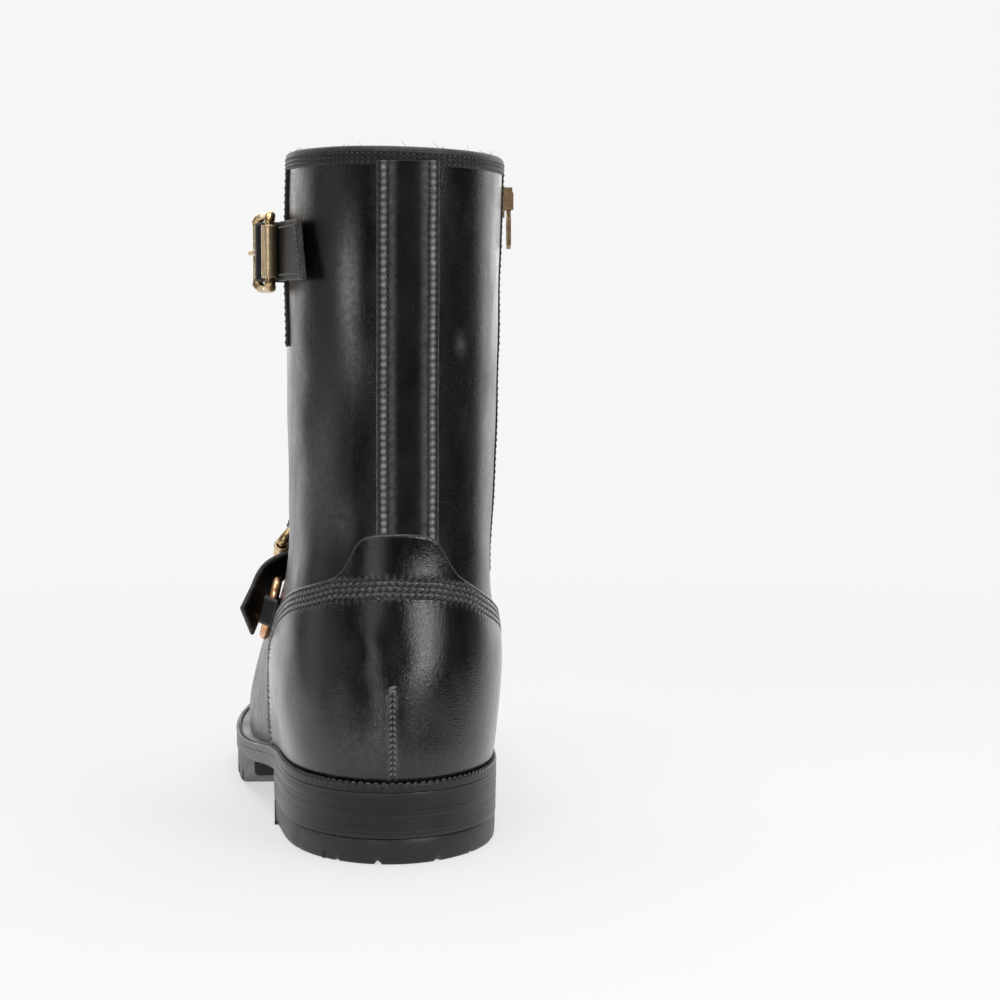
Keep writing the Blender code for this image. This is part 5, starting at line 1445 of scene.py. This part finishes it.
def build_lugged_sole():
    """The half sole: a smooth wall with a notch at each groove, a flat tread
    between lugs, and a hollow behind the ball."""
    plan, at, length = plan_stations(900)
    full = outline_of(plan, WELT_OUT - 0.6)
    ys = np.concatenate([np.arange(HALF_SOLE_Y, 255.0, 0.9)])
    y_top = full[:, 1].max()
    ys = ys[ys < y_top - 0.3]
    tail = y_top - 0.25 - (y_top - ys[-1]) * np.array([0.5, 0.2, 0.05])
    ys = np.unique(np.concatenate([ys, tail]))
    across = 61
    top, low, wear_and_sheen = [], [], []
    for y in ys:
        xs = crossings(full, y)
        a, b = min(xs), max(xs)
        t = (1 - np.cos(np.linspace(0, math.pi, across))) / 2
        x = a + (b - a) * t
        up = float(under_welt(y)) - MIDSOLE_T - GAP
        floor = float(tread(y))
        # hollow behind the ball
        hollow = 9.0 * (1 - smooth((y - HALF_SOLE_Y) / 36.0))
        depth = np.zeros(across)
        for line in LUG_LINES:
            bend = line + 9.0 * np.abs(x - 3.0) / 45.0
            groove = smooth((3.0 - np.abs(y - bend)) / 1.0)
            near_edge = smooth((np.abs(x - 3.0) - 9.0) / 2.0)
            depth = np.maximum(depth, groove * near_edge)
        depth = np.maximum(depth, smooth((2.6 - np.abs(np.abs(x - 3.0) - 8.0)) / 1.0) * (y > 112) * (y < 232))
        z = floor + LUG_DEPTH * depth * smooth((y - 100) / 12.0)
        z = np.maximum(z, floor + hollow)
        z = np.minimum(z, up - 1.2)
        edge = np.minimum(x - a, b - x)
        z = z + 0.9 * np.exp(-(edge / 0.7) ** 2)
        low.append(np.column_stack([x, np.full(across, y), np.minimum(z, up - 1.0)]))
        top.append(np.column_stack([x, np.full(across, y), np.full(across, up)]))
        wear_and_sheen.append(0.25 * np.exp(-(edge / 1.2) ** 2))
    low, top = np.array(low), np.array(top)
    loop = np.concatenate([top, low[:, ::-1]], 1)
    w = np.concatenate([np.array(wear_and_sheen) * 0, np.array(wear_and_sheen)[:, ::-1]], 1)
    rows, m = loop.shape[:2]
    faces = grid_faces(rows, m, True).tolist()
    for base in (0, (rows - 1) * m):
        faces += [[base + k, base + k + 1, base + m - 2 - k, base + m - 1 - k] for k in range(m // 2 - 1)]
    Piece().add(loop, faces, w).make("lugged_half_sole", [RUBBER_MAT], "half_sole", ["half_sole"], sharp=35)


# --------------------------------------------------------------------- straps
def strap_loops(points, normals, width, thick, step=0.5, slant=0.0, across=None, round_tip=0.0):
    p, t, n, w = frames_along(points, normals, step)
    if across is not None:
        w = np.array([np.array(across, float) - np.dot(across, tt) * tt for tt in t])
        w /= np.linalg.norm(w, axis=1, keepdims=True)
        n2 = np.cross(w, t)
        n = n2 * np.sign(np.sum(n2 * n, 1, keepdims=True))
    h, g = width / 2, thick / 2
    r = min(0.65, g * 0.9)
    section = []
    for k in range(29):
        section.append((h - r - (2 * h - 2 * r) * k / 28, g))
    for a in np.linspace(90, 270, 8)[1:-1]:
        c, d = math.cos(math.radians(a)), math.sin(math.radians(a))
        section.append((-h + r + r * c, g * d if abs(d) > 0.999 else (g - r) * np.sign(d) + r * d if g > r else g * d))
    for k in range(13):
        section.append((-h + r + (2 * h - 2 * r) * k / 12, -g))
    for a in np.linspace(270, 450, 8)[1:-1]:
        c, d = math.cos(math.radians(a)), math.sin(math.radians(a))
        section.append((h - r + r * c, (g - r) * np.sign(d) + r * d if g > r else g * d))
    section = np.array(section)
    length = np.concatenate([[0], np.cumsum(np.linalg.norm(np.diff(p, axis=0), axis=1))])
    loops = []
    for i in range(len(p)):
        from_end = length[-1] - length[i]
        share = smooth(1 - from_end / 14.0)
        push = slant * share * section[:, 0] / h
        close = min(1.0, from_end / 0.5, length[i] / 0.5)
        thin = 0.72 + 0.28 * math.sqrt(max(0.0, 1 - (1 - close) ** 2))
        loops.append(p[i] + w[i] * section[:, :1] + t[i] * push[:, None] + n[i] * section[:, 1:] * thin)
    return np.array(loops), section, (p, t, n, w, length)


def finish_strap(name, loops, section, mats, slot, replaces, stitched=(), pitch=2.1, border=2.0,
                 frames=None, slant=0.0, thick=STRAP_T, width=20.0, ranges=((0.0, 1.0),), lift=0.16, size=0.30):
    rows, m = loops.shape[:2]
    wear_and_sheen = np.zeros((rows, m))
    # a lighter colour along both cut edges: painted highlight on the edges' thickness; the rows at both ends are
    # lighter too
    edge = np.abs(section[:, 0]) > width / 2 - 0.9
    wear_and_sheen[:, edge] = 0.55
    wear_and_sheen[:3] = 0.4
    wear_and_sheen[-3:] = 0.5
    faces = grid_faces(rows, m, True).tolist() + [list(range(m))[::-1], [(rows - 1) * m + k for k in range(m)]]
    Piece().add(loops, faces, wear_and_sheen).make(name, mats, slot, replaces, sharp=70)
    if frames is None:
        return
    p, t, n, w, length = frames
    piece = Piece()
    rng = np.random.RandomState(len(name))
    for lo, hi in ranges:
        keep = (length >= lo * length[-1]) & (length <= hi * length[-1] - border)
        if keep.sum() < 3:
            continue
        for side in (-1, 1):
            share = smooth(1 - (length[-1] - length[keep]) / 14.0)
            off = side * (width / 2 - border)
            line = p[keep] + w[keep] * off + n[keep] * (thick / 2 + 0.02) + \
                t[keep] * (slant * share * off / (width / 2))[:, None]
            stitches_along(piece, line, n[keep], pitch, size, lift, 0.2, rng, 0.80, True, 0.36)
        if hi == 1.0:
            i = int(np.argmin(np.abs(length - (length[-1] - border))))
            offs = np.linspace(-(width / 2 - border), width / 2 - border, 20)
            line = np.array([p[i] + w[i] * o + t[i] * slant * o / (width / 2) + n[i] * (thick / 2 + 0.02) for o in offs])
            stitches_along(piece, line, np.tile(n[i], (20, 1)), pitch, size, lift, 0.2, rng, 0.80, True, 0.36)
    piece.make(name + "_stitches", [HEEL_THREAD_MAT, HOLE_SHADE_MAT], slot)


def revolve(piece, place, t, n, profile, sides=48, index=0, wear_and_sheen=0.0):
    """A closed profile of (radius, along w) turned about an axis across the strap."""
    c = place.at(t, n)
    a = np.arange(sides) / sides * 2 * math.pi
    loops = []
    for r, w in profile:
        loops.append(c + r * (np.cos(a)[:, None] * place.t + np.sin(a)[:, None] * place.n) + w * place.w)
    return piece.add(np.array(loops), grid_faces(len(profile), sides, True, True), wear_and_sheen, index)


def round_path(points, step, closed=True, tight=0.5):
    """A smooth curve through points, read every step mm."""
    p = np.asarray(points, float)
    pe = np.concatenate([p[-1:], p, p[:2]]) if closed else np.concatenate([[2 * p[0] - p[1]], p, [2 * p[-1] - p[-2]]])
    out = []
    for i in range(1, len(pe) - 2):
        count = max(2, int(round(np.linalg.norm(pe[i + 1] - pe[i]) / step)))
        for q in np.arange(count) / count:
            w = tight * np.array([-q + 2 * q**2 - q**3, 2 - 5 * q**2 + 3 * q**3, q + 4 * q**2 - 3 * q**3, -q**2 + q**3])
            out.append(w @ pe[i - 1:i + 3])
    if not closed:
        out.append(pe[-2])
    return np.array(out)


def buckle_metal(prefix, place, roller_len, half_wide, mats):
    frame_mat, roller_mat, prong_mat = mats
    reach, narrow, r = BUCKLE_HALF, roller_len / 2 + 0.9, 6.0
    half = [(reach, 0.0), (reach, narrow)]
    for a in (22.5, 45, 67.5):
        half.append((reach - (1 - math.cos(math.radians(a))) * r,
                     narrow + math.sin(math.radians(a)) * (half_wide - narrow)))
    half += [(4.0, half_wide), (0.0, half_wide)]
    half += [(-t, w) for t, w in half[5::-1]]
    path = half[:-1] + [(t, -w) for t, w in half[::-1][:-1]]
    pts = [place.at(t, -BUCKLE_DIP * (1 - (t / reach) ** 2), w) for t, w in path]
    curve = round_path(pts, 0.7)
    local = (curve - place.o) @ place.w
    rail = smooth((np.abs(local) - narrow + 0.6) / 1.6)
    frame_piece = Piece()
    sweep(frame_piece, curve, ROD * (1 + 0.06 * rail), 18, True, flat=(place.n, 1.0 + 0.22 * rail))
    bar = [place.at(0, -BUCKLE_DIP, w) for w in np.linspace(-half_wide - 0.2, half_wide + 0.2, 12)]
    sweep(frame_piece, bar, ROD * 0.9, 16)
    frame_piece.make(f"{prefix}_frame_metal", [frame_mat], f"{prefix}_buckle_frame", [f"{prefix}_buckle_frame"],
                     sharp=60)
    h, ro, ri = roller_len / 2, ROLLER_R, ROD + 0.5
    profile = [(ri, -h), (ri, h), (ro - 0.25, h), (ro, h - 0.25), (ro + 0.0, 0.0), (ro, -h + 0.25), (ro - 0.25, -h)]
    roller = revolve(Piece(), place, reach, 0.0, profile)
    roller.make(f"{prefix}_roller_metal", [roller_mat], f"{prefix}_buckle_roller", [f"{prefix}_buckle_roller"], sharp=35)
    low = -BUCKLE_DIP
    prong = Piece()
    eye = [(BAR_R + 0.3, -1.3), (BAR_R + 0.3, 1.3), (2.45, 1.3), (2.7, 1.0), (2.7, -1.0), (2.45, -1.3)]
    revolve(prong, place, 0.0, low, eye, 32)
    line = [(-1.9, low + 1.6), (-4.0, low + 2.6), (-7.0, low + 3.7), (-10.5, 2.35), (-13.2, 2.85), (-15.4, 2.75), (-16.2, 2.5)]
    radius = [1.05, 1.2, 1.2, 1.1, 1.0, 0.8, 0.45]
    path = round_path([place.at(a, b) for a, b in line], 0.6, False)
    rr = np.interp(np.linspace(0, 1, len(path)), np.linspace(0, 1, len(radius)), radius)
    sweep(prong, path, rr, 14, False, flat=(place.n, 0.72))
    prong.make(f"{prefix}_prong_metal", [prong_mat], f"{prefix}_buckle_prong", [f"{prefix}_buckle_prong"], sharp=60)


def build_collar_strap_detail():
    z = 216.0
    place = Place((-42.6, 41.0, z), (0.16, -0.987, 0.0), (-0.987, -0.16, 0.0))

    def skin(y, off):
        p, n = on_skin((-150, y, z), (150, y, z))
        return p + off * n, n

    rest = GAP + 0.4 + STRAP_T / 2
    sewn = [bearing_skin(b, z, (5.0, 41.0)) for b in (-14.0, -20.0, -26.0, -32.0, -38.0, -44.0)]
    free = [skin(y, GAP + TAB_T + 0.3 + STRAP_T / 2 + lift) for y, lift in ((15.0, 0.2), (6.0, 0.6), (-4.0, 1.6))]
    points = [p + rest * n for p, n in sewn] + strap_in_buckle(place) + [p for p, _ in free]
    normals = [n for _, n in sewn] + [place.n] * 8 + [n for _, n in free]
    loops, section, frames = strap_loops(points, normals, COLLAR_STRAP_W, STRAP_T + 0.25, 0.5, slant=3.5)
    finish_strap("collar_strap_leather", loops, section, [STRAP_MAT], "collar_strap", ["collar_strap"], frames=frames,
                 slant=3.5, thick=STRAP_T + 0.25, width=COLLAR_STRAP_W, border=2.3, pitch=1.9,
                 ranges=((0.0, 0.42), (0.74, 1.0)))
    buckle_metal("collar", place, 19.5, 13.6, (BRASS_MAT, BRIGHT_MAT, BRIGHT_MAT))
    for node in ("collar_tab", "instep_tab"):
        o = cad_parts[node]
        o.data.materials.clear()
        o.data.materials.append(STRAP_MAT)
    # two upright rows of stitching where the strap is sewn on in front
    box_rows = Piece()
    rng = np.random.RandomState(21)
    for b in (-15.0, -27.0):
        line, nn = [], []
        for zz in np.linspace(z - 8.5, z + 8.5, 24):
            p, n = bearing_skin(b, zz, (5.0, 41.0))
            line.append(p + n * (rest + STRAP_T / 2 + 0.15))
            nn.append(n)
        stitches_along(box_rows, np.array(line), np.array(nn), 2.0, 0.30, 0.15, 0.2, rng)
    box_rows.make("collar_strap_sewn_end", [HEEL_THREAD_MAT, HOLE_SHADE_MAT], "collar_strap")
    return place


def build_instep_strap_detail():
    roller, n_roller = bearing_skin(-59.5, 94.0)
    front, n_front = bearing_skin(-37.0, 107.0)
    along = roller - front
    out = 1.6 * n_roller + n_front
    place = Place((0, 0, 0), along, out)
    reach = roller + place.n * (GAP + 0.9 + STRAP_T + 0.3 + ROLLER_R)
    place = Place(reach - place.t * BUCKLE_HALF, along, out)
    path = [bearing_skin(b, z) for b, z in INSTEP_PATH[::-1]]
    points, normals = [], []
    for k, (p, n) in enumerate(path):
        q0, q1 = path[max(k - 1, 0)][0], path[min(k + 1, len(path) - 1)][0]
        t = (q1 - q0) / np.linalg.norm(q1 - q0)
        w = np.cross(t, n)
        w /= np.linalg.norm(w)
        lift = 0.0
        for side in (-1, -0.5, 0.5, 1):
            e = p + w * side * INSTEP_STRAP_W / 2
            hit, _ = on_skin(e + n * 60, e)
            lift = max(lift, float(np.dot(hit - p, n)))
        points.append(p + n * (GAP + 0.4 + STRAP_T / 2 + lift))
        normals.append(n)
    free = [((-41.4, 84.3, 88.2), (-0.70, 0.48, 0.33)),
            ((-45.6, 77.7, 80.4), (-0.69, 0.52, 0.30)),
            ((-49.6, 71.0, 72.6), (-0.68, 0.55, 0.28))]
    points += strap_in_buckle(place) + [np.array(p) for p, _ in free]
    normals += [place.n] * 8 + [np.array(n) for _, n in free]
    loops, section, frames = strap_loops(points, normals, INSTEP_STRAP_W, STRAP_T + 0.2, 0.55)
    finish_strap("instep_strap_leather", loops, section, [STRAP_MAT], "instep_strap", ["instep_strap"], frames=frames,
                 thick=STRAP_T + 0.2, width=INSTEP_STRAP_W, border=2.0, pitch=2.0, ranges=((0.0, 0.80),))
    buckle_metal("instep", place, 15.0, 11.2, (BRASS_MAT, BRIGHT_MAT, BRIGHT_MAT))
    return place


def build_ring_detail():
    centre, n = bearing_skin(-86.0, 77.0)
    up = np.array((0.0, 0.0, 1.0))
    up = up - np.dot(up, n) * n
    up /= np.linalg.norm(up)
    back = np.cross(n, up)
    back *= -np.sign(back[1])
    lift = 0.0
    for a in np.linspace(0, 2 * math.pi, 24, endpoint=False):
        spot = centre + (RING_R + 1) * (math.cos(a) * back + math.sin(a) * up)
        hit, _ = on_skin(spot + n * 60, spot)
        lift = max(lift, float(np.dot(hit - centre, n)))
    middle = centre + n * (lift + GAP + 0.2 + RING_ROD)
    path = [middle + RING_R * (math.cos(a) * back + math.sin(a) * up)
            for a in np.linspace(0, 2 * math.pi, 120, endpoint=False)]
    ring = Piece()
    sweep(ring, path, RING_ROD, 22, True)
    ring.make("harness_ring_metal", [COPPER_MAT], "harness_ring", ["harness_ring"], sharp=None)
    width, thick = 11.0, TAB_T
    bow = RING_R - math.sqrt(RING_R ** 2 - (width / 2) ** 2)
    place = Place(middle + RING_R * back, back, n)
    rn, rt = RING_ROD + 0.5 + thick / 2, RING_ROD + bow + 0.9 + thick / 2
    points, normals = [], []
    for a in (60, 90, 120, 150, 180, 205, 225):
        c, d = math.cos(math.radians(a)), math.sin(math.radians(a))
        points.append(place.at((rt if c < 0 else rn) * c, rn * d))
        normals.append(c * place.t + d * place.n)
    tail = []
    for t in (6.0, 10.0):
        spot = place.at(t)
        hit, m = on_skin(spot + n * 60, spot - n * 20)
        tail.append((hit + m * (GAP + 0.9 + thick / 2), m))
    points = [tail[1][0], tail[0][0]] + points
    normals = [tail[1][1], tail[0][1]] + normals
    loops, section, frames = strap_loops(points, normals, width, thick + 0.15, 0.5, across=place.w)
    finish_strap("ring_tab_leather", loops, section, [STRAP_MAT], "ring_tab", ["ring_tab"], thick=thick, width=width)


# ------------------------------------------------------------------------ zip
def build_zip_detail():
    mid_y = sum(ZIP_Y) / 2

    def wall(z, off=0.0, dy=0.0):
        p = FINE.ray_cast(Vector((150, mid_y + dy, z)), Vector((-1, 0, 0)))[0]
        u, v = foot(np.array([p]))
        n = normal(u, v)[0]
        return surface(u, v)[0] + (off + float(relief(surface(u, v))[0])) * n, n

    zs = np.linspace(ZIP_BOTTOM_Z + 0.5, 244.5, 75)
    tape = Piece()
    loops = []
    for z in zs:
        loop = [wall(z, off, dy)[0] for dy, off in ((-3.4, -1.15), (-1.2, -1.05), (1.2, -1.05), (3.4, -1.15),
                                                   (3.4, -2.1), (1.2, -2.0), (-1.2, -2.0), (-3.4, -2.1))]
        loops.append(loop)
    faces = grid_faces(len(zs), 8, True).tolist() + [list(range(8))[::-1], [(len(zs) - 1) * 8 + k for k in range(8)]]
    tape.add(np.array(loops), faces, 0.0, 0)
    # teeth: two rows of small rounded blocks that interlock
    tooth = []
    for x, k in ((-1.45, 0.7), (-1.1, 1.0), (0.9, 1.0), (1.25, 0.6)):
        tooth.append([(x, s1 * 0.42 * k, s2 * 0.5 * k) for s1, s2 in ((-1, -1), (1, -1), (1, 1), (-1, 1))])
    tris = []
    for q in grid_faces(4, 4, True).tolist() + [[0, 1, 2, 3], [15, 14, 13, 12]]:
        tris += [[q[0], q[1], q[2]], [q[0], q[2], q[3]]]
    tooth = np.array(tooth).reshape(-1, 3)
    places, ts, ns = [], [], []
    for k, z in enumerate(np.arange(ZIP_BOTTOM_Z + 3.0, 228.0, 0.95)):
        side = 1 if k % 2 else -1
        p, n = wall(z, -0.62, side * 0.55)
        places.append(p)
        ts.append((0, -side, 0))
        ns.append(n)
    for k, z in enumerate(np.arange(241.5, 244.0, 0.95)):
        for side in (-1, 1):
            p, n = wall(z, -0.62, side * 1.7)
            places.append(p)
            ts.append((0, -side, 0))
            ns.append(n)
    tape.copies(tooth, np.array(tris), np.array(places), np.array(ts, float), np.array(ns), index=1)
    tape.make("zip_tape_and_teeth", [TAPE_MAT, DARK_BRASS_MAT], "zip_chain", ["zip_chain"], sharp=40)

    rows = Piece()
    for side in (-1, 1):
        line = []
        for z in np.linspace(ZIP_BOTTOM_Z - 2.0, 246.0, 80):
            hit = FINE.ray_cast(Vector((150, mid_y + side * 6.6, z)), Vector((-1, 0, 0)))[0]
            line.append(tuple(hit))
        width, thick = 5.4, 0.85

        def height(c, a, length):
            h = rounded(c, width, thick, 0.8)
            return h - 0.28 * np.exp(-((c - width / 2) / 0.40) ** 2)

        strip, _, _ = overlay(f"zip_edge_{'rear' if side < 0 else 'front'}", line, width, height, STRAP_MAT, "upper", 22, 0.6)
        strip.make(f"zip_edge_{'rear' if side < 0 else 'front'}", [STRAP_MAT], "upper", sharp=None)
        row_on_leather(rows, line, thick - 0.28, 2.4, 0.36, 0.22, 0.15, seed=70 + side)
    rows.make("zip_edge_stitches", [THREAD_MAT, HOLE_SHADE_MAT], "upper")
    for node, width in (("zip_slider", 0.25), ("zip_pull", 0.22)):
        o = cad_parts[node]
        o.data.materials.clear()
        o.data.materials.append(SLIDER_MAT)
        bevel = o.modifiers.new("soft_edges", "BEVEL")
        bevel.width, bevel.segments, bevel.limit_method = width * MM, 2, "ANGLE"
        bevel.angle_limit = math.radians(35)
        o.data.shade_smooth()


# ----------------------------------------------------------------- vamp seams
def build_vamp_seam():
    """The line where the shaft's front is sewn over the vamp, on both sides: two
    rows of stitches that start at the counter and meet over the instep."""
    rows = Piece()
    for k in range(2):
        line = []
        for b in np.linspace(-62, 62, 90):
            z = 101.0 - 0.0047 * b * b - k * 2.2
            p, n = bearing_skin(b, z)
            line.append(p)
        row_on_leather(rows, np.array(line), 0.0, 2.3, 0.36, 0.22, 0.15, seed=90 + k)
    rows.make("vamp_seam_stitches", [THREAD_MAT, HOLE_SHADE_MAT], "upper")


# ------------------------------------------------------------- build in turn
build_upper_skin()
build_back_stay()
build_collar()
build_side_seam()
build_counter_skin()
build_welt_ring()
build_sole_plates()
build_heel_pieces()
build_lugged_sole()
build_collar_strap_detail()
build_instep_strap_detail()
build_ring_detail()
build_zip_detail()
build_vamp_seam()

# ---------------------------------------------------------- floor, light, view
BACKGROUND = 0.922
FLOOR_GLOW, FLOOR_ALBEDO = 0.60, 0.34


def stage_floor():
    """A pale sheet under and behind the boot. Away from the boot it fades into
    the same pale grey as the wall of the studio."""
    material = bpy.data.materials.new("pale_floor")
    material.use_nodes = True
    tree = material.node_tree
    shader = tree.nodes["Principled BSDF"]
    coords = tree.nodes.new("ShaderNodeTexCoord")
    far = tree.nodes.new("ShaderNodeVectorMath")
    far.operation = "LENGTH"
    tree.links.new(coords.outputs["Object"], far.inputs[0])
    fade = tree.nodes.new("ShaderNodeMapRange")
    fade.interpolation_type = "SMOOTHSTEP"
    tree.links.new(far.outputs["Value"], fade.inputs["Value"])
    fade.inputs["From Min"].default_value, fade.inputs["From Max"].default_value = 0.22, 0.95

    def level(near, distant):
        n = tree.nodes.new("ShaderNodeMapRange")
        tree.links.new(fade.outputs["Result"], n.inputs["Value"])
        n.inputs["To Min"].default_value, n.inputs["To Max"].default_value = near, distant
        return n.outputs["Result"]

    tint = tree.nodes.new("ShaderNodeCombineColor")
    for socket in tint.inputs[:3]:
        tree.links.new(level(FLOOR_ALBEDO, 0.0), socket)
    tree.links.new(tint.outputs[0], shader.inputs["Base Color"])
    shader.inputs["Roughness"].default_value = 1.0
    shader.inputs["Specular IOR Level"].default_value = 0.0
    shader.inputs["Emission Color"].default_value = (1.0, 1.0, 1.0, 1.0)
    tree.links.new(level(FLOOR_GLOW, BACKGROUND), shader.inputs["Emission Strength"])
    mesh = bpy.data.meshes.new("floor")
    corners = [(-0.42, -0.30, 0), (0.50, -0.30, 0), (4.2, 14.0, 0), (-3.6, 14.0, 0)]
    mesh.from_pydata(corners, [], [(0, 1, 2, 3)])
    mesh.materials.append(material)
    floor = bpy.data.objects.new("floor", mesh)
    bpy.context.scene.collection.objects.link(floor)


def panel(name, azimuth, rise, distance, size, radiance, aim=(0.0, 0.0, 0.10), colour=(1, 1, 1)):
    """A soft box seen from the boot at an azimuth from straight back of it
    towards the inner side, and a rise over the level, degrees."""
    a, e = math.radians(azimuth), math.radians(rise)
    place = Vector(aim) + distance * Vector((math.sin(a) * math.cos(e), -math.cos(a) * math.cos(e), math.sin(e)))
    light = bpy.data.lights.new(name, "AREA")
    light.shape, light.size, light.size_y = "RECTANGLE", size[0], size[1]
    light.energy, light.color = radiance * math.pi * size[0] * size[1], colour
    ob = bpy.data.objects.new(name, light)
    ob.location = place
    ob.rotation_euler = (Vector(aim) - place).to_track_quat("-Z", "Y").to_euler()
    bpy.context.scene.collection.objects.link(ob)
    return ob


def build_world():
    """White behind the boot and dim on the near side of it, as in a studio with
    a white sweep; the eye sees the same pale grey all round."""
    world = bpy.data.worlds.new("studio")
    bpy.context.scene.world = world
    world.use_nodes = True
    tree = world.node_tree
    tree.nodes.clear()
    out = tree.nodes.new("ShaderNodeOutputWorld")
    coords = tree.nodes.new("ShaderNodeTexCoord")
    split = tree.nodes.new("ShaderNodeSeparateXYZ")
    tree.links.new(coords.outputs["Generated"], split.inputs[0])

    def ramp(socket, low, high, bottom, top):
        n = tree.nodes.new("ShaderNodeMapRange")
        n.interpolation_type = "SMOOTHSTEP"
        tree.links.new(socket, n.inputs["Value"])
        n.inputs["From Min"].default_value, n.inputs["From Max"].default_value = low, high
        n.inputs["To Min"].default_value, n.inputs["To Max"].default_value = bottom, top
        return n.outputs["Result"]

    skew = tree.nodes.new("ShaderNodeMath")
    skew.operation = "MULTIPLY_ADD"
    tree.links.new(split.outputs["X"], skew.inputs[0])
    skew.inputs[1].default_value = 0.15
    tree.links.new(split.outputs["Y"], skew.inputs[2])
    behind = ramp(skew.outputs[0], 0.58, 0.90, 0.0, 1.8)
    above = ramp(split.outputs["Z"], 0.35, 0.95, 0.07, 0.45)
    both = tree.nodes.new("ShaderNodeMath")
    both.operation = "ADD"
    tree.links.new(behind, both.inputs[0])
    tree.links.new(above, both.inputs[1])
    low = tree.nodes.new("ShaderNodeBackground")
    low.inputs["Color"].default_value = (1.0, 1.0, 1.0, 1.0)
    tree.links.new(both.outputs[0], low.inputs["Strength"])
    seen = tree.nodes.new("ShaderNodeBackground")
    seen.inputs["Color"].default_value = (1.0, 1.0, 1.0, 1.0)
    seen.inputs["Strength"].default_value = BACKGROUND
    path = tree.nodes.new("ShaderNodeLightPath")
    mix = tree.nodes.new("ShaderNodeMixShader")
    tree.links.new(path.outputs["Is Camera Ray"], mix.inputs[0])
    tree.links.new(low.outputs[0], mix.inputs[1])
    tree.links.new(seen.outputs[0], mix.inputs[2])
    tree.links.new(mix.outputs[0], out.inputs["Surface"])


stage_floor()
build_world()
panel("overhead_softbox", 160, 78, 1.5, (1.5, 1.0), 2.2)
panel("window_softbox", 41, 19, 1.3, (0.66, 0.30), 9.0)
panel("small_lamp", -37, 24, 1.2, (0.11, 0.11), 16.0)
panel("left_strip", -72, -1, 1.3, (0.20, 0.22), 3.2, (0.0, 0.0, 0.17))
panel("left_softbox", -104, 8, 1.4, (0.70, 0.80), 0.65)
panel("high_front", -20, 62, 1.2, (0.50, 0.25), 6.0)
panel("narrow_strip", -25, 2, 1.2, (0.09, 0.30), 11.0, (-0.02, 0.0, 0.19))

camera = bpy.data.cameras.new("camera")
camera.lens, camera.sensor_width, camera.sensor_fit = 88.1, 36.0, "HORIZONTAL"
camera.clip_start, camera.clip_end = 0.01, 60.0
eye = bpy.data.objects.new("camera", camera)
eye.location = (-0.0588, -0.8870, 0.1940)
eye.rotation_euler = (math.radians(90 - 4.415), 0.0, math.radians(-6.5))
bpy.context.scene.collection.objects.link(eye)
bpy.context.scene.camera = eye
bpy.context.scene.view_settings.view_transform = "Standard"
